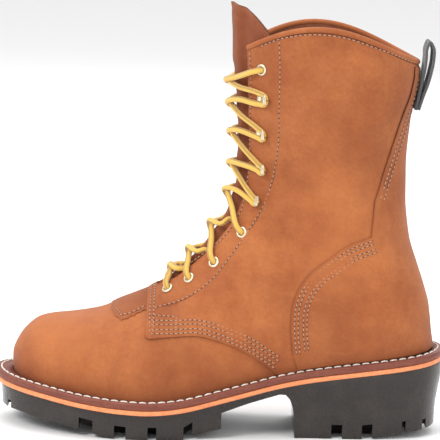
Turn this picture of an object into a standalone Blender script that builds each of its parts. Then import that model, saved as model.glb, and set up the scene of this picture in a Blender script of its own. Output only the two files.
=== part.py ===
# Logger boot, left foot, standing unworn and laced on its sole.
# Tables and sizes are in millimetres, the objects in metres.
# +X runs from toe to heel, -Y is the outer side, +Z is up.
# The origin is on the ground, under the middle of the sole.

import math
from collections import namedtuple

import bmesh
import bpy
import numpy as np
from mathutils import Vector

MM = 0.001
GAP = 0.3                   # between curved pieces that touch on the real boot

SOLE_LENGTH = 314.4         # welt, toe to heel
FOOT_TOE_X = -144.9         # where the upper meets the sole at the toe
FOOT_HEEL_X = 148.7         # and at the heel
WELT_HEIGHT = 5.0
MIDSOLE_HEIGHT = 3.2
INSOLE_HEIGHT = 3.0

VAMP_INSIDE = -3.0          # offsets from the upper's own surface
VAMP_OUTSIDE = -1.0
QUARTER_LOW = -2.0
QUARTER_OUTSIDE = 0.0
PATCH_LOW = -1.7
PATCH_OUTSIDE = -0.35
COUNTER_OUTSIDE = 1.0
COUNTER_LOW = -1.5
EDGE_MARGIN = 1.0           # each layer stops short of the lower one at the throat
COLLAR_MARGIN = 0.11        # and at the collar, in rows of the fan

TONGUE_UNDER = -4.5         # tongue's outside, below the eyestays
TONGUE_PROUD = -0.6         # and where it fills the throat
TONGUE_THICKNESS = 2.6
TONGUE_TOP = 31.0           # rows of the fan
TONGUE_FOOT = 11.2
THROAT_ROW = 11.0
COLLAR_ROW = 29.0
HEEL_ROW = 20.0
TOE_STEP = 0.8
SHAFT_STEP = 1.0
SIDE_COLUMNS = 10
FOOT_STATIONS = [TOE_STEP * n for n in range(25)]   # rows of the upper ahead of the heel
FOOT_ROWS = len(FOOT_STATIONS) + 1
BOW_SKEW = 1.12             # the collar is highest a little ahead of its middle

BINDING_RADIUS = 2.1
LACE_RADIUS = 1.7
LACE_SEAT = 0.6             # height of the laces over the true surface
HOOK_SEAT = -0.35           # the facets of the wall lie a little inside it
LACE_STEP = 0.26            # crossings keep clear of each other at a hook, in rows
LACE_CLEAR = 8.0            # and end this far before it
EYELET_CLEAR = 6.2          # or this far before an eyelet
EYELET_HOLE = 3.1
PULL_WIDTH = 24.0
PULL_HALF_THICKNESS = 0.85

TREAD_DEPTH = 9.0
TREAD_WIDTH = 5.0
TREAD_INSET = 19.0

# Outline of the sole and of the foot inside it, as seen from above
Outline = namedtuple("Outline", "along half middle")
SOLE_OUTLINE = (
    Outline(0.00, 0.0, 9.0),
    Outline(0.03, 27.0, 7.5),
    Outline(0.07, 38.0, 6.0),
    Outline(0.12, 46.0, 4.5),
    Outline(0.20, 54.0, 1.5),
    Outline(0.29, 57.5, -0.5),
    Outline(0.38, 55.5, -2.5),
    Outline(0.48, 48.0, -4.0),
    Outline(0.58, 41.5, -3.5),
    Outline(0.68, 39.0, -2.0),
    Outline(0.80, 39.5, -0.5),
    Outline(0.89, 37.5, 0.0),
    Outline(0.95, 30.5, 0.0),
    Outline(1.00, 0.0, 0.0),
)
FOOT_OUTLINE = (
    Outline(0.00, 0.0, 8.0),
    Outline(0.045, 29.0, 6.5),
    Outline(0.10, 39.5, 5.0),
    Outline(0.17, 46.0, 3.0),
    Outline(0.26, 49.5, 0.0),
    Outline(0.35, 48.0, -2.0),
    Outline(0.45, 42.0, -3.5),
    Outline(0.56, 35.5, -3.5),
    Outline(0.68, 32.5, -2.0),
    Outline(0.80, 33.5, -0.5),
    Outline(0.89, 32.0, 0.0),
    Outline(0.95, 25.5, 0.0),
    Outline(1.00, 0.0, 0.0),
)

# Top of the midsole, on which the welt, the insole and the upper stand
Height = namedtuple("Height", "x z")
SOLE_TOP = (
    Height(-158.5, 32.5),
    Height(-145.3, 30.8),
    Height(-122.0, 27.8),
    Height(-95.0, 24.3),
    Height(-67.0, 21.8),
    Height(-46.0, 21.2),
    Height(-24.0, 23.2),
    Height(1.4, 28.9),
    Height(20.0, 33.4),
    Height(40.0, 38.5),
    Height(56.0, 41.8),
    Height(73.0, 44.6),
    Height(106.0, 49.2),
    Height(133.0, 52.6),
    Height(158.5, 56.0),
)

# Underside of the rubber from toe to heel: tread, waist, breast and heel
RUBBER_UNDERSIDE = (
    Height(-160.0, 12.5),
    Height(-138.0, 11.5),
    Height(-112.0, 7.5),
    Height(-94.0, 4.4),
    Height(-78.0, 1.6),
    Height(-66.0, 0.0),
    Height(-22.0, 0.0),
    Height(-17.5, 3.5),
    Height(2.6, 7.5),
    Height(2.7, 18.6),
    Height(22.0, 25.2),
    Height(42.3, 31.2),
    Height(46.5, 31.0),
    Height(49.5, 27.6),
    Height(51.6, 22.0),
    Height(52.6, 16.8),
    Height(53.4, 0.0),
    Height(104.0, 0.0),
    Height(112.5, 2.2),
    Height(125.5, 4.4),
    Height(140.0, 5.4),
    Height(161.0, 7.6),
)

# Inset of the rubber's side below the midsole: the heel is undercut
Undercut = namedtuple("Undercut", "z inset")
RUBBER_SIDE = (
    Undercut(-4.0, 5.0),
    Undercut(20.0, 4.4),
    Undercut(31.0, 2.8),
    Undercut(45.0, 0.3),
    Undercut(70.0, 0.0),
)

# The heel's back line
Back = namedtuple("Back", "z x")
BACK_LINE = (
    Back(50.0, 148.7),
    Back(62.0, 148.6),
    Back(71.4, 147.1),
    Back(82.0, 145.8),
    Back(92.7, 144.1),
    Back(104.0, 140.7),
    Back(121.0, 134.7),
    Back(135.0, 129.9),
    Back(149.0, 127.3),
    Back(160.0, 125.9),
    Back(177.0, 125.3),
    Back(191.0, 125.0),
    Back(212.0, 126.3),
    Back(226.0, 127.8),
    Back(240.0, 130.7),
    Back(250.0, 132.2),
    Back(262.0, 132.6),
    Back(300.0, 133.0),
)

# The last as a fan of sections, each from the foot line up to the ridge.
# foot: X along the sole, and past the heel the height climbed up the back.
# side: widest half breadth.  swell, taper: where it is reached and left.
# power: roundness of the ridge.  middle: sideways shift of the ridge.
# gap: half width of the throat.  bow: rise of the section's middle.
Fan = namedtuple("Fan", "foot ridge_x ridge_z side swell taper power middle gap bow")
FAN = (
    Fan(-144.9, -146.3, 42.0, 0.0, 0.25, 0.30, 2.3, 8.0, 0.0, 0.0),
    Fan(-144.0, -145.8, 49.6, 8.5, 0.25, 0.30, 2.3, 7.9, 0.0, 0.0),
    Fan(-141.0, -142.9, 57.0, 16.8, 0.25, 0.30, 2.3, 7.6, 0.0, 0.0),
    Fan(-136.0, -137.9, 64.6, 24.8, 0.25, 0.30, 2.3, 7.3, 0.0, 0.0),
    Fan(-127.5, -129.3, 72.1, 33.0, 0.25, 0.30, 2.3, 7.0, 0.0, 0.0),
    Fan(-117.0, -119.3, 75.3, 39.4, 0.25, 0.30, 2.3, 6.6, 0.0, 0.0),
    Fan(-102.0, -105.1, 77.1, 44.6, 0.25, 0.30, 2.25, 6.0, 0.0, 0.0),
    Fan(-87.0, -91.2, 79.6, 47.9, 0.25, 0.30, 2.15, 5.5, 0.0, 0.0),
    Fan(-74.0, -81.0, 82.6, 49.6, 0.25, 0.28, 2.05, 5.0, 0.0, 0.0),
    Fan(-60.0, -70.5, 88.0, 50.0, 0.25, 0.28, 1.95, 4.5, 0.0, 0.0),
    Fan(-45.0, -57.9, 93.4, 49.0, 0.26, 0.28, 1.90, 4.0, 0.0, 0.0),
    Fan(-28.0, -45.3, 99.3, 46.5, 0.28, 0.30, 1.85, 3.5, 4.0, 0.0),
    Fan(-6.0, -34.3, 107.0, 43.2, 0.30, 0.32, 1.80, 3.0, 9.5, 0.0),
    Fan(18.0, -24.0, 117.0, 40.6, 0.30, 0.34, 1.80, 2.5, 11.0, 0.0),
    Fan(44.0, -13.5, 128.5, 39.0, 0.30, 0.36, 1.80, 2.0, 11.8, 0.0),
    Fan(72.0, -4.0, 142.0, 38.5, 0.30, 0.38, 1.80, 1.5, 12.5, 0.0),
    Fan(100.0, 2.5, 154.0, 38.5, 0.30, 0.42, 1.80, 1.0, 13.0, 0.0),
    Fan(125.0, 6.5, 167.0, 38.5, 0.30, 0.46, 1.78, 0.5, 13.6, 0.0),
    Fan(139.0, 8.0, 176.0, 38.5, 0.30, 0.48, 1.76, 0.3, 14.0, 0.0),
    Fan(146.5, 8.4, 182.0, 38.5, 0.30, 0.50, 1.75, 0.2, 14.3, 0.0),
    Fan(148.7, 8.5, 187.0, 38.5, 0.30, 0.50, 1.75, 0.0, 14.6, 0.0),
    Fan(164.0, 8.4, 192.0, 38.5, 0.32, 0.50, 1.75, 0.0, 15.0, 0.0),
    Fan(186.0, 8.3, 200.0, 38.6, 0.35, 0.50, 1.75, 0.0, 15.5, 0.0),
    Fan(206.0, 8.3, 207.0, 39.0, 0.38, 0.50, 1.75, 0.0, 16.0, 0.0),
    Fan(229.0, 7.9, 215.0, 39.6, 0.40, 0.50, 1.75, 0.0, 16.5, 0.0),
    Fan(254.0, 7.2, 225.0, 40.5, 0.42, 0.50, 1.75, 0.0, 17.2, 0.5),
    Fan(283.0, 6.3, 236.0, 41.5, 0.42, 0.50, 1.75, 0.0, 18.0, 4.0),
    Fan(308.0, 5.3, 245.0, 42.4, 0.42, 0.50, 1.75, 0.0, 18.6, 9.0),
    Fan(332.0, 4.4, 253.0, 43.3, 0.42, 0.50, 1.75, 0.0, 19.2, 15.5),
    Fan(352.0, 3.6, 260.5, 44.0, 0.42, 0.50, 1.75, 0.0, 19.6, 21.5),
    Fan(372.0, 2.4, 279.0, 44.0, 0.42, 0.50, 1.75, 0.0, 19.6, 21.5),
    Fan(388.0, 1.8, 297.5, 44.0, 0.42, 0.50, 1.75, 0.0, 19.6, 21.5),
)

# Side view outlines of the layers that lie over the vamp, as x and z.
# The quarter and the counter end a little above the welt.
QUARTER_FRONT = (
    (-50.8, 320.0), (-50.8, 69.0), (-48.3, 67.8), (-32.0, 69.6), (-13.3, 70.6),
    (3.7, 66.2), (15.0, 61.8), (24.6, 56.3), (36.4, 48.2),
)
COUNTER_FRONT = (
    (129.5, 320.0), (128.6, 250.0), (126.1, 237.0), (121.8, 225.4), (113.8, 201.3),
    (108.6, 184.0), (103.5, 166.6), (101.6, 142.0), (87.2, 136.2), (70.5, 124.0),
    (63.5, 118.4), (57.3, 111.2), (52.6, 103.0), (49.6, 93.7), (48.8, 76.2), (50.5, 60.0),
)
TONGUE_PATCH = (
    (-77.0, 110.0), (-76.2, 83.0), (-72.5, 80.0), (-67.5, 78.2), (-62.5, 80.0),
    (-57.0, 82.6), (-52.0, 85.0), (-46.0, 87.5), (-46.0, 110.0),
)

# Lace rows from the toe up: where each eyelet or hook sits on the fan
LaceRow = namedtuple("LaceRow", "row distance fitting")
LACE_ROWS = (
    LaceRow(11.6, 17.5, "eyelet"),
    LaceRow(12.8, 21.5, "eyelet"),
    LaceRow(14.1, 25.5, "eyelet"),
    LaceRow(15.9, 28.0, "eyelet"),
    LaceRow(18.0, 29.0, "hook"),
    LaceRow(21.9, 33.0, "hook"),
    LaceRow(24.5, 34.0, "hook"),
    LaceRow(26.2, 35.5, "hook"),
    LaceRow(27.6, 35.0, "eyelet"),
)

# Centre line of the webbing pull loop, up from the back seam and down again
PULL_PATH = (
    (130.6, 227.0), (132.6, 237.0), (134.3, 246.5), (135.9, 255.0),
    (136.6, 263.0), (136.9, 269.5), (138.9, 273.6), (141.3, 270.0),
    (141.7, 262.0), (140.4, 253.5), (138.3, 245.0), (135.4, 236.5), (132.6, 227.0),
)

# Notches in the rubber's edge, by their x, width and depth
Notch = namedtuple("Notch", "x width depth")
SIDE_NOTCHES = (
    Notch(-145.5, 2.4, 5.0),
    Notch(-90.2, 9.6, 9.0),
    Notch(-66.5, 8.0, 9.0),
    Notch(-44.5, 6.0, 9.0),
    Notch(-20.0, 6.0, 9.0),
    Notch(82.5, 7.6, 10.0),
    Notch(103.5, 7.2, 10.0),
    Notch(129.0, 2.6, 8.0),
    Notch(143.5, 2.6, 7.0),
)

# Open centre of the tread: crosswise grooves between the middle lugs
MIDDLE_GROOVES = (-124.0, -101.0, -78.0, -55.0, -32.0, -9.0)
HEEL_POCKET = (70.0, 122.0, 15.0)   # front, back, half width


def through(keys, values, at):
    """Smooth curve through the values at the keys."""
    keys = np.asarray(keys, float)
    values = np.asarray(values, float)
    slopes = np.gradient(values, keys)
    at = np.clip(at, keys[0], keys[-1])
    k = np.clip(np.searchsorted(keys, at, side="right") - 1, 0, len(keys) - 2)
    span = keys[k + 1] - keys[k]
    u = (at - keys[k]) / span
    return ((2 * u ** 3 - 3 * u ** 2 + 1) * values[k]
            + (u ** 3 - 2 * u ** 2 + u) * span * slopes[k]
            + (3 * u ** 2 - 2 * u ** 3) * values[k + 1]
            + (u ** 3 - u ** 2) * span * slopes[k + 1])


def column(table, name):
    return [getattr(row, name) for row in table]


def sole_top(x):
    return through(column(SOLE_TOP, "x"), column(SOLE_TOP, "z"), x)


def turn(along):
    """Angle that makes both ends of an outline round."""
    return np.arccos(np.clip(1.0 - 2.0 * np.asarray(along, float), -1.0, 1.0))


def breadth(outline, along):
    """Half breadth and middle of an outline at a share of its length."""
    keys = turn(column(outline, "along"))
    half = through(keys, column(outline, "half"), turn(along))
    middle = through(keys, column(outline, "middle"), turn(along))
    return np.maximum(half, 0.0), middle


def outline_loop(outline, toe, length, points, outset=0.0):
    """Closed outline as x, y, first down the outer side, then up the inner."""
    angle = np.linspace(0.0, 2.0 * math.pi, points, endpoint=False)

    def at(a):
        along = (1.0 - np.cos(a)) / 2.0
        half, middle = breadth(outline, along)
        return toe + along * length, middle - np.sign(np.sin(a)) * half

    x, y = at(angle)
    step = 0.01
    xa, ya = at(angle - step)
    xb, yb = at(angle + step)
    tangent = np.hypot(xb - xa, yb - ya)
    x = x + (yb - ya) / tangent * outset
    y = y - (xb - xa) / tangent * outset
    return np.stack([x, y], axis=1)


SOLE_TOE_X = -SOLE_LENGTH / 2.0
FOOT_LENGTH = FOOT_HEEL_X - FOOT_TOE_X
SOLE_EDGE = outline_loop(SOLE_OUTLINE, SOLE_TOE_X, SOLE_LENGTH, 360)
Y_SHIFT = -(SOLE_EDGE[:, 1].max() + SOLE_EDGE[:, 1].min()) / 2.0
HEEL_Z = float(sole_top(FOOT_HEEL_X)) + GAP


def sole_loop(points, outset=0.0):
    return outline_loop(SOLE_OUTLINE, SOLE_TOE_X, SOLE_LENGTH, points, outset)


def foot_loop(points, outset=0.0):
    return outline_loop(FOOT_OUTLINE, FOOT_TOE_X, FOOT_LENGTH, points, outset)


# The upper's own surface

def fan_row(s):
    """One section of the fan, between the rows of the table."""
    keys = range(len(FAN))
    return Fan(*(float(through(keys, column(FAN, name), s)) for name in Fan._fields))


def section(s, t):
    """Side view point, half breadth and middle at shares t of section s."""
    row = fan_row(s)
    if row.foot <= FOOT_HEEL_X:
        along = (row.foot - FOOT_TOE_X) / FOOT_LENGTH
        base, base_middle = breadth(FOOT_OUTLINE, along)
        foot_x = row.foot
        foot_z = float(sole_top(row.foot)) + GAP
    else:
        base, base_middle = 0.0, 0.0
        foot_z = HEEL_Z + row.foot - FOOT_HEEL_X
        foot_x = float(through(column(BACK_LINE, "z"), column(BACK_LINE, "x"), foot_z))
    side = max(row.side, float(base))
    rise = 1.0 - (1.0 - np.minimum(t / row.swell, 1.0)) ** 2
    lower = np.sqrt(base ** 2 + (side ** 2 - base ** 2) * rise)
    u = np.clip((t - row.taper) / (1.0 - row.taper), 0.0, 1.0)
    half = lower * (1.0 - u ** row.power) ** (1.0 / row.power)
    if s <= 0.0:
        half = half * 0.0
    x = foot_x + (row.ridge_x - foot_x) * t
    z = foot_z + (row.ridge_z - foot_z) * t + row.bow * np.sin(math.pi * t ** BOW_SKEW)
    middle = base_middle + (row.middle - base_middle) * t
    return x, z, half, middle


def surface(s, t, side):
    """Point of the upper's surface; side is -1 for outer and +1 for inner."""
    x, z, half, middle = section(s, np.asarray(t, float))
    return np.stack([x, middle + side * half, z], axis=-1)


def share_at(s, side, distance):
    """Share t of the point that lies a distance from the ridge along section s."""
    t = 1.0 - np.linspace(0.0, 0.9, 241) ** 1.6
    points = surface(s, t, side)
    run = np.concatenate([[0.0], np.cumsum(np.linalg.norm(np.diff(points, axis=0), axis=1))])
    return np.interp(distance, run, t)


def seat(s, distance, side, lift=0.0):
    """Point at a distance from the ridge, lifted off the surface, with its normal."""
    def at(row, d):
        return Vector(surface(row, share_at(row, side, d), side))

    step = 0.05
    point = at(s, distance)
    across = at(s, distance + 0.5) - point
    up = at(s + step, distance) - point
    normal = across.cross(up).normalized() * -side
    return point + normal * lift, normal, up.normalized()


def edge_share(s, margin=0.0):
    """Where section s ends: at the ridge, or at the edge of the throat."""
    row = fan_row(s)
    if s < THROAT_ROW:
        return 1.0
    t = np.linspace(1.0, 0.5, 401)
    half = section(s, t)[2]
    return float(np.interp(row.gap + margin, half, t))


# Meshes and materials

def material(name, colour, roughness, metallic=0.0):
    finish = bpy.data.materials.new(name)
    finish.use_nodes = True
    shader = finish.node_tree.nodes["Principled BSDF"]
    shader.inputs["Base Color"].default_value = (*colour, 1.0)
    shader.inputs["Roughness"].default_value = roughness
    shader.inputs["Metallic"].default_value = metallic
    finish.diffuse_color = (*colour, 1.0)
    return finish


def add_object(name, mesh, finish=None, smooth=None):
    thing = bpy.data.objects.new(name, mesh)
    bpy.context.scene.collection.objects.link(thing)
    if finish is not None:
        mesh.materials.append(finish)
    if smooth is not None:
        mesh.shade_smooth()
        mesh.set_sharp_from_angle(angle=math.radians(smooth))
    return thing


def mesh_of(name, points, faces):
    """Mesh from points in millimetres, with its middle over the origin."""
    mesh = bpy.data.meshes.new(name)
    shifted = [(x * MM, (y + Y_SHIFT) * MM, z * MM) for x, y, z in points]
    mesh.from_pydata(shifted, [], [list(map(int, face)) for face in faces])
    mesh.validate()
    return mesh


def helper(thing):
    thing.hide_render = True
    thing.display_type = "WIRE"
    return thing


def boolean(thing, operation, other, overlapping=False):
    step = thing.modifiers.new(other.name, "BOOLEAN")
    step.operation = operation
    step.object = helper(other)
    step.use_self = overlapping


def loft(name, rings, ends="capped"):
    """Closed solid through rings; its ends are capped, joined or come to an edge."""
    count = len(rings[0])
    points = [p for ring in rings for p in ring]
    faces = []
    for i in range(len(rings) - 1):
        for j in range(count):
            k = (j + 1) % count
            faces.append((i * count + j, i * count + k, (i + 1) * count + k, (i + 1) * count + j))
    if ends == "capped":
        faces.append(tuple(reversed(range(count))))
        faces.append(tuple(range((len(rings) - 1) * count, len(rings) * count)))
    if ends == "joined":
        last = (len(rings) - 1) * count
        for j in range(count):
            k = (j + 1) % count
            faces.append((last + j, last + k, k, j))
    mesh = mesh_of(name, points, faces)
    tidy_mesh(mesh)
    return mesh


def tidy_mesh(mesh):
    """Merges points that meet and turns the faces outward."""
    work = bmesh.new()
    work.from_mesh(mesh)
    bmesh.ops.remove_doubles(work, verts=work.verts, dist=0.002 * MM)
    bmesh.ops.recalc_face_normals(work, faces=work.faces)
    work.to_mesh(mesh)
    work.free()


def side_prism(name, outline, half_width):
    """Side view outline, given a width across the boot."""
    rings = [[(x, y, z) for x, z in outline] for y in (-half_width, half_width)]
    return loft(name, rings)


def shell(name, grid, low, high):
    """Wall between two offsets of a surface given as sides of rows of points."""
    index = {}
    points = []
    keys = {}
    for side, rows in grid.items():
        for i, row in enumerate(rows):
            for j, point in enumerate(row):
                key = tuple(np.round(point, 4))
                if key not in index:
                    index[key] = len(points)
                    points.append(point)
                keys[side, i, j] = index[key]
    faces = []
    for side, rows in grid.items():
        for i in range(len(rows) - 1):
            for j in range(len(rows[i]) - 1):
                corners = [keys[side, i, j], keys[side, i, j + 1],
                           keys[side, i + 1, j + 1], keys[side, i + 1, j]]
                if side < 0:
                    corners.reverse()
                loop = [c for n, c in enumerate(corners) if c != corners[n - 1]]
                if len(loop) > 2:
                    faces.append(loop)
    flat = bpy.data.meshes.new("surface")
    flat.from_pydata([tuple(p) for p in points], [], faces)
    flat.update()
    normals = np.array([tuple(n.vector) for n in flat.vertex_normals])
    bpy.data.meshes.remove(flat)
    points = np.array(points)
    for side, rows in grid.items():
        for i in range(FOOT_ROWS):
            level = normals[keys[side, i, 0]]
            level[2] = 0.0
            level /= np.linalg.norm(level)
    count = len(points)
    solid = np.concatenate([points + normals * high, points + normals * low])
    walls = [tuple(face) for face in faces]
    walls += [tuple(c + count for c in reversed(face)) for face in faces]
    borders = set()
    for face in faces:
        for a, b in zip(face, face[1:] + face[:1]):
            if (b, a) in borders:
                borders.remove((b, a))
            else:
                borders.add((a, b))
    walls += [(b, a, a + count, b + count) for a, b in sorted(borders)]
    return mesh_of(name, solid, walls)


def columns(s, last):
    """Shares along a section, closer together where it turns: ridge and heel."""
    even = np.linspace(0.0, 1.0, SIDE_COLUMNS + 1)
    to_ridge = 1.0 - (1.0 - even) ** 1.5
    to_back = even ** 1.7
    return last * (to_ridge + (to_back - to_ridge) * np.interp(s, (8.0, HEEL_ROW), (0.0, 1.0)))


def upper_rows(last):
    shaft = list(np.arange(HEEL_ROW, last - 0.1, SHAFT_STEP))
    return FOOT_STATIONS + shaft + [last]


def upper_grid(margin=0.0, last=COLLAR_ROW):
    """Points of the upper, kept back from the throat and the collar."""
    grid = {-1: [], 1: []}
    for s in upper_rows(last):
        shares = np.minimum(columns(s, edge_share(s)), edge_share(s, margin))
        for side in grid:
            grid[side].append(surface(s, shares, side))
    return grid


def tube(name, path, radius, sides=6):
    """Round tube along a list of points in millimetres, with flat ends."""
    rings = []
    previous = None
    for n, point in enumerate(path):
        ahead = Vector(path[min(n + 1, len(path) - 1)])
        behind = Vector(path[max(n - 1, 0)])
        run = (ahead - behind).normalized()
        if previous is None:
            previous = run.orthogonal().normalized()
        first = (previous - run * previous.dot(run)).normalized()
        second = run.cross(first)
        previous = first
        ring = []
        for k in range(sides):
            a = 2.0 * math.pi * k / sides
            ring.append(tuple(Vector(point) + (first * math.cos(a) + second * math.sin(a)) * radius))
        rings.append(ring)
    return loft(name, rings)


def smooth_path(points, count):
    """Even points on a smooth curve through a short list."""
    points = np.array([tuple(p) for p in points], float)
    run = np.concatenate([[0.0], np.cumsum(np.linalg.norm(np.diff(points, axis=0), axis=1))])
    at = np.linspace(0.0, run[-1], count)
    return np.stack([through(run, points[:, k], at) for k in range(points.shape[1])], axis=1)


def turned(name, profile, sides, centre, axis):
    """Solid of revolution from a closed profile of radius and height."""
    rotation = Vector((0.0, 0.0, 1.0)).rotation_difference(axis).to_matrix()
    rings = []
    for k in range(sides):
        a = 2.0 * math.pi * k / sides
        ring = []
        for radius, height in profile:
            local = Vector((radius * math.cos(a), radius * math.sin(a), height))
            ring.append(tuple(rotation @ local + centre))
        rings.append(ring)
    return loft(name, rings, ends="joined")


def disc(name, radius, low, high, sides, centre, axis):
    """Plain round plug along an axis."""
    rotation = Vector((0.0, 0.0, 1.0)).rotation_difference(axis).to_matrix()
    rings = []
    for height in (low, high):
        ring = []
        for k in range(sides):
            a = 2.0 * math.pi * k / sides
            local = Vector((radius * math.cos(a), radius * math.sin(a), height))
            ring.append(tuple(rotation @ local + centre))
        rings.append(ring)
    return loft(name, rings)


# The pieces

def above_welt(front, clearance):
    """Panel outline: its front edge, then along the welt and up behind the heel."""
    start = front[-1][0] + 4.0
    line = [(x, float(sole_top(x)) + WELT_HEIGHT + clearance) for x in np.linspace(start, 170.0, 9)]
    return list(front) + line + [(170.0, 320.0)]


def make_upper(leather):
    wall = shell("upper", upper_grid(), VAMP_INSIDE, VAMP_OUTSIDE)
    upper = add_object("upper", wall, leather, smooth=40)
    layers = (
        ("quarter_layer", above_welt(QUARTER_FRONT, 0.8), QUARTER_LOW, QUARTER_OUTSIDE),
        ("patch_layer", TONGUE_PATCH, PATCH_LOW, PATCH_OUTSIDE),
        ("counter_layer", above_welt(COUNTER_FRONT, 1.8), COUNTER_LOW, COUNTER_OUTSIDE),
    )
    for n, (name, outline, low, high) in enumerate(layers):
        grid = upper_grid(EDGE_MARGIN * (n + 1), COLLAR_ROW - COLLAR_MARGIN * (n + 1))
        layer = add_object(name, shell(name, grid, low, high), leather)
        knife = add_object(name + "_outline", side_prism(name, outline, 90.0))
        boolean(layer, "INTERSECT", knife)
        boolean(upper, "UNION", layer)
    boolean(upper, "DIFFERENCE", make_eyelet_holes())
    return upper


def make_eyelet_holes():
    """All the eyelets' plugs, as one cutter."""
    plugs = []
    for row in LACE_ROWS:
        if row.fitting == "eyelet":
            for side in (-1, 1):
                centre, normal, _ = seat(row.row, row.distance, side)
                plugs.append(disc("plug", EYELET_HOLE, -6.0, 3.0, 10, centre, normal))
    return add_object("eyelet_holes", joined("eyelet_holes", plugs))


def joined(name, meshes):
    """One mesh from several, which are removed."""
    work = bmesh.new()
    for mesh in meshes:
        work.from_mesh(mesh)
        bpy.data.meshes.remove(mesh)
    mesh = bpy.data.meshes.new(name)
    work.to_mesh(mesh)
    work.free()
    return mesh


def make_tongue(leather):
    spread = np.linspace(-1.0, 1.0, 13)
    steps = np.linspace(0.0, 1.0, 15)
    outside, inside = [], []
    for v in steps:
        for k in spread:
            side = -1 if k < 0 else 1
            top = TONGUE_TOP - 1.8 * abs(k) ** 1.6
            s = TONGUE_FOOT + (top - TONGUE_FOOT) * v
            reach = np.interp(s, (TONGUE_FOOT, 14.0, 20.0, 29.0), (20.0, 30.0, 36.0, 41.0))
            distance = abs(k) * reach
            gap = fan_row(s).gap if s > THROAT_ROW else 0.0
            proud = min(max((gap - 2.0 - distance) / 6.0, 0.0), 1.0)
            proud = proud * proud * (3.0 - 2.0 * proud)
            lift = TONGUE_UNDER + (TONGUE_PROUD - TONGUE_UNDER) * proud
            outside.append(tuple(seat(s, distance, side, lift)[0]))
            inside.append(tuple(seat(s, distance, side, lift - TONGUE_THICKNESS)[0]))
    wide = len(spread)
    count = len(outside)
    faces = []
    for i in range(len(steps) - 1):
        for j in range(wide - 1):
            a = i * wide + j
            quad = (a, a + 1, a + wide + 1, a + wide)
            faces.append(quad)
            faces.append(tuple(c + count for c in reversed(quad)))
    rim = list(range(wide))
    rim += [i * wide + wide - 1 for i in range(1, len(steps))]
    rim += [(len(steps) - 1) * wide + j for j in range(wide - 2, -1, -1)]
    rim += [i * wide for i in range(len(steps) - 2, 0, -1)]
    for a, b in zip(rim, rim[1:] + rim[:1]):
        faces.append((b, a, a + count, b + count))
    mesh = mesh_of("tongue", outside + inside, faces)
    tidy_mesh(mesh)
    return add_object("tongue", mesh, leather, smooth=50)


def make_collar_binding(leather):
    """Rolled edge that sits on the collar from one eyestay to the other."""
    end = edge_share(COLLAR_ROW) * 0.995
    stops = [(-1, t) for t in np.linspace(end, 0.0, 25)]
    stops += [(1, t) for t in np.linspace(0.0, end, 25)[1:]]
    middle = (VAMP_INSIDE + QUARTER_OUTSIDE) / 2.0
    path = []
    for side, t in stops:
        edge = Vector(surface(COLLAR_ROW, t, side))
        below = Vector(surface(COLLAR_ROW - 0.3, t, side))
        beside = Vector(surface(COLLAR_ROW, t + (0.01 if t < 0.5 else -0.01), side))
        up = (edge - below).normalized()
        run = (beside - edge).normalized()
        up = (up - run * up.dot(run)).normalized()
        outward = run.cross(up)
        if outward.dot(edge - Vector((65.0, 0.0, edge.z))) < 0.0:
            outward = -outward
        path.append(edge + outward * middle + up * (GAP + BINDING_RADIUS))
    even = smooth_path(path, 39)
    return add_object("collar_binding", tube("collar_binding", even, BINDING_RADIUS), leather, smooth=50)


def plate(name, loop, low, high):
    """Flat layer of the sole stack, between two heights above its own line."""
    half = len(loop) // 2
    rings = []
    for j in range(half + 1):
        outer = loop[j]
        inner = loop[-j]
        rings.append([
            (outer[0], outer[1], sole_top(outer[0]) + low),
            (inner[0], inner[1], sole_top(inner[0]) + low),
            (inner[0], inner[1], sole_top(inner[0]) + high),
            (outer[0], outer[1], sole_top(outer[0]) + high),
        ])
    return loft(name, rings, ends="edge")


def make_insole(leather):
    loop = foot_loop(64, VAMP_INSIDE - 0.9)
    return add_object("insole", plate("insole", loop, GAP, GAP + INSOLE_HEIGHT), leather, smooth=30)


def make_midsole(orange):
    loop = sole_loop(72, -0.6)
    return add_object("midsole", plate("midsole", loop, -MIDSOLE_HEIGHT, 0.0), orange, smooth=30)


def skirt(height, outset):
    """Loop around the upper at a height above the sole's top, at the upper's stations."""
    side_line = []
    for s in FOOT_STATIONS + [HEEL_ROW, HEEL_ROW + 0.12, HEEL_ROW + 0.24]:
        t = np.linspace(0.0, 0.4, 401)
        x, z, half, middle = section(s, t)
        rise = z - sole_top(x)
        if rise[0] < height:
            side_line.append([float(np.interp(height, rise, v)) for v in (x, middle, half)])
    back = float(np.interp(HEEL_Z + height, column(BACK_LINE, "z"), column(BACK_LINE, "x")))
    side_line.append([back, 0.0, 0.0])
    outer = [(x, m - h) for x, m, h in side_line]
    inner = [(x, m + h) for x, m, h in side_line[-2:0:-1]]
    loop = np.array(outer + inner)
    tangent = np.roll(loop, -1, axis=0) - np.roll(loop, 1, axis=0)
    tangent /= np.linalg.norm(tangent, axis=1)[:, None]
    return loop + np.stack([tangent[:, 1], -tangent[:, 0]], axis=1) * outset


def nearest(loop, point):
    return loop[int(np.argmin(np.hypot(*(loop - point).T)))]


def make_welt(leather):
    inner = skirt(WELT_HEIGHT, VAMP_OUTSIDE + GAP)
    edge = sole_loop(1440)
    outer = [nearest(edge, point) for point in inner]
    rings = []
    for a, b in zip(outer, inner):
        rings.append([
            (a[0], a[1], sole_top(a[0]) + GAP),
            (a[0], a[1], sole_top(a[0]) + WELT_HEIGHT - 1.0),
            (a[0] + (b[0] - a[0]) * 0.12, a[1] + (b[1] - a[1]) * 0.12, sole_top(a[0]) + WELT_HEIGHT),
            (b[0], b[1], sole_top(b[0]) + WELT_HEIGHT),
            (b[0], b[1], sole_top(b[0]) + GAP),
        ])
    return add_object("welt", loft("welt", rings, ends="joined"), leather, smooth=30)


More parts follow.
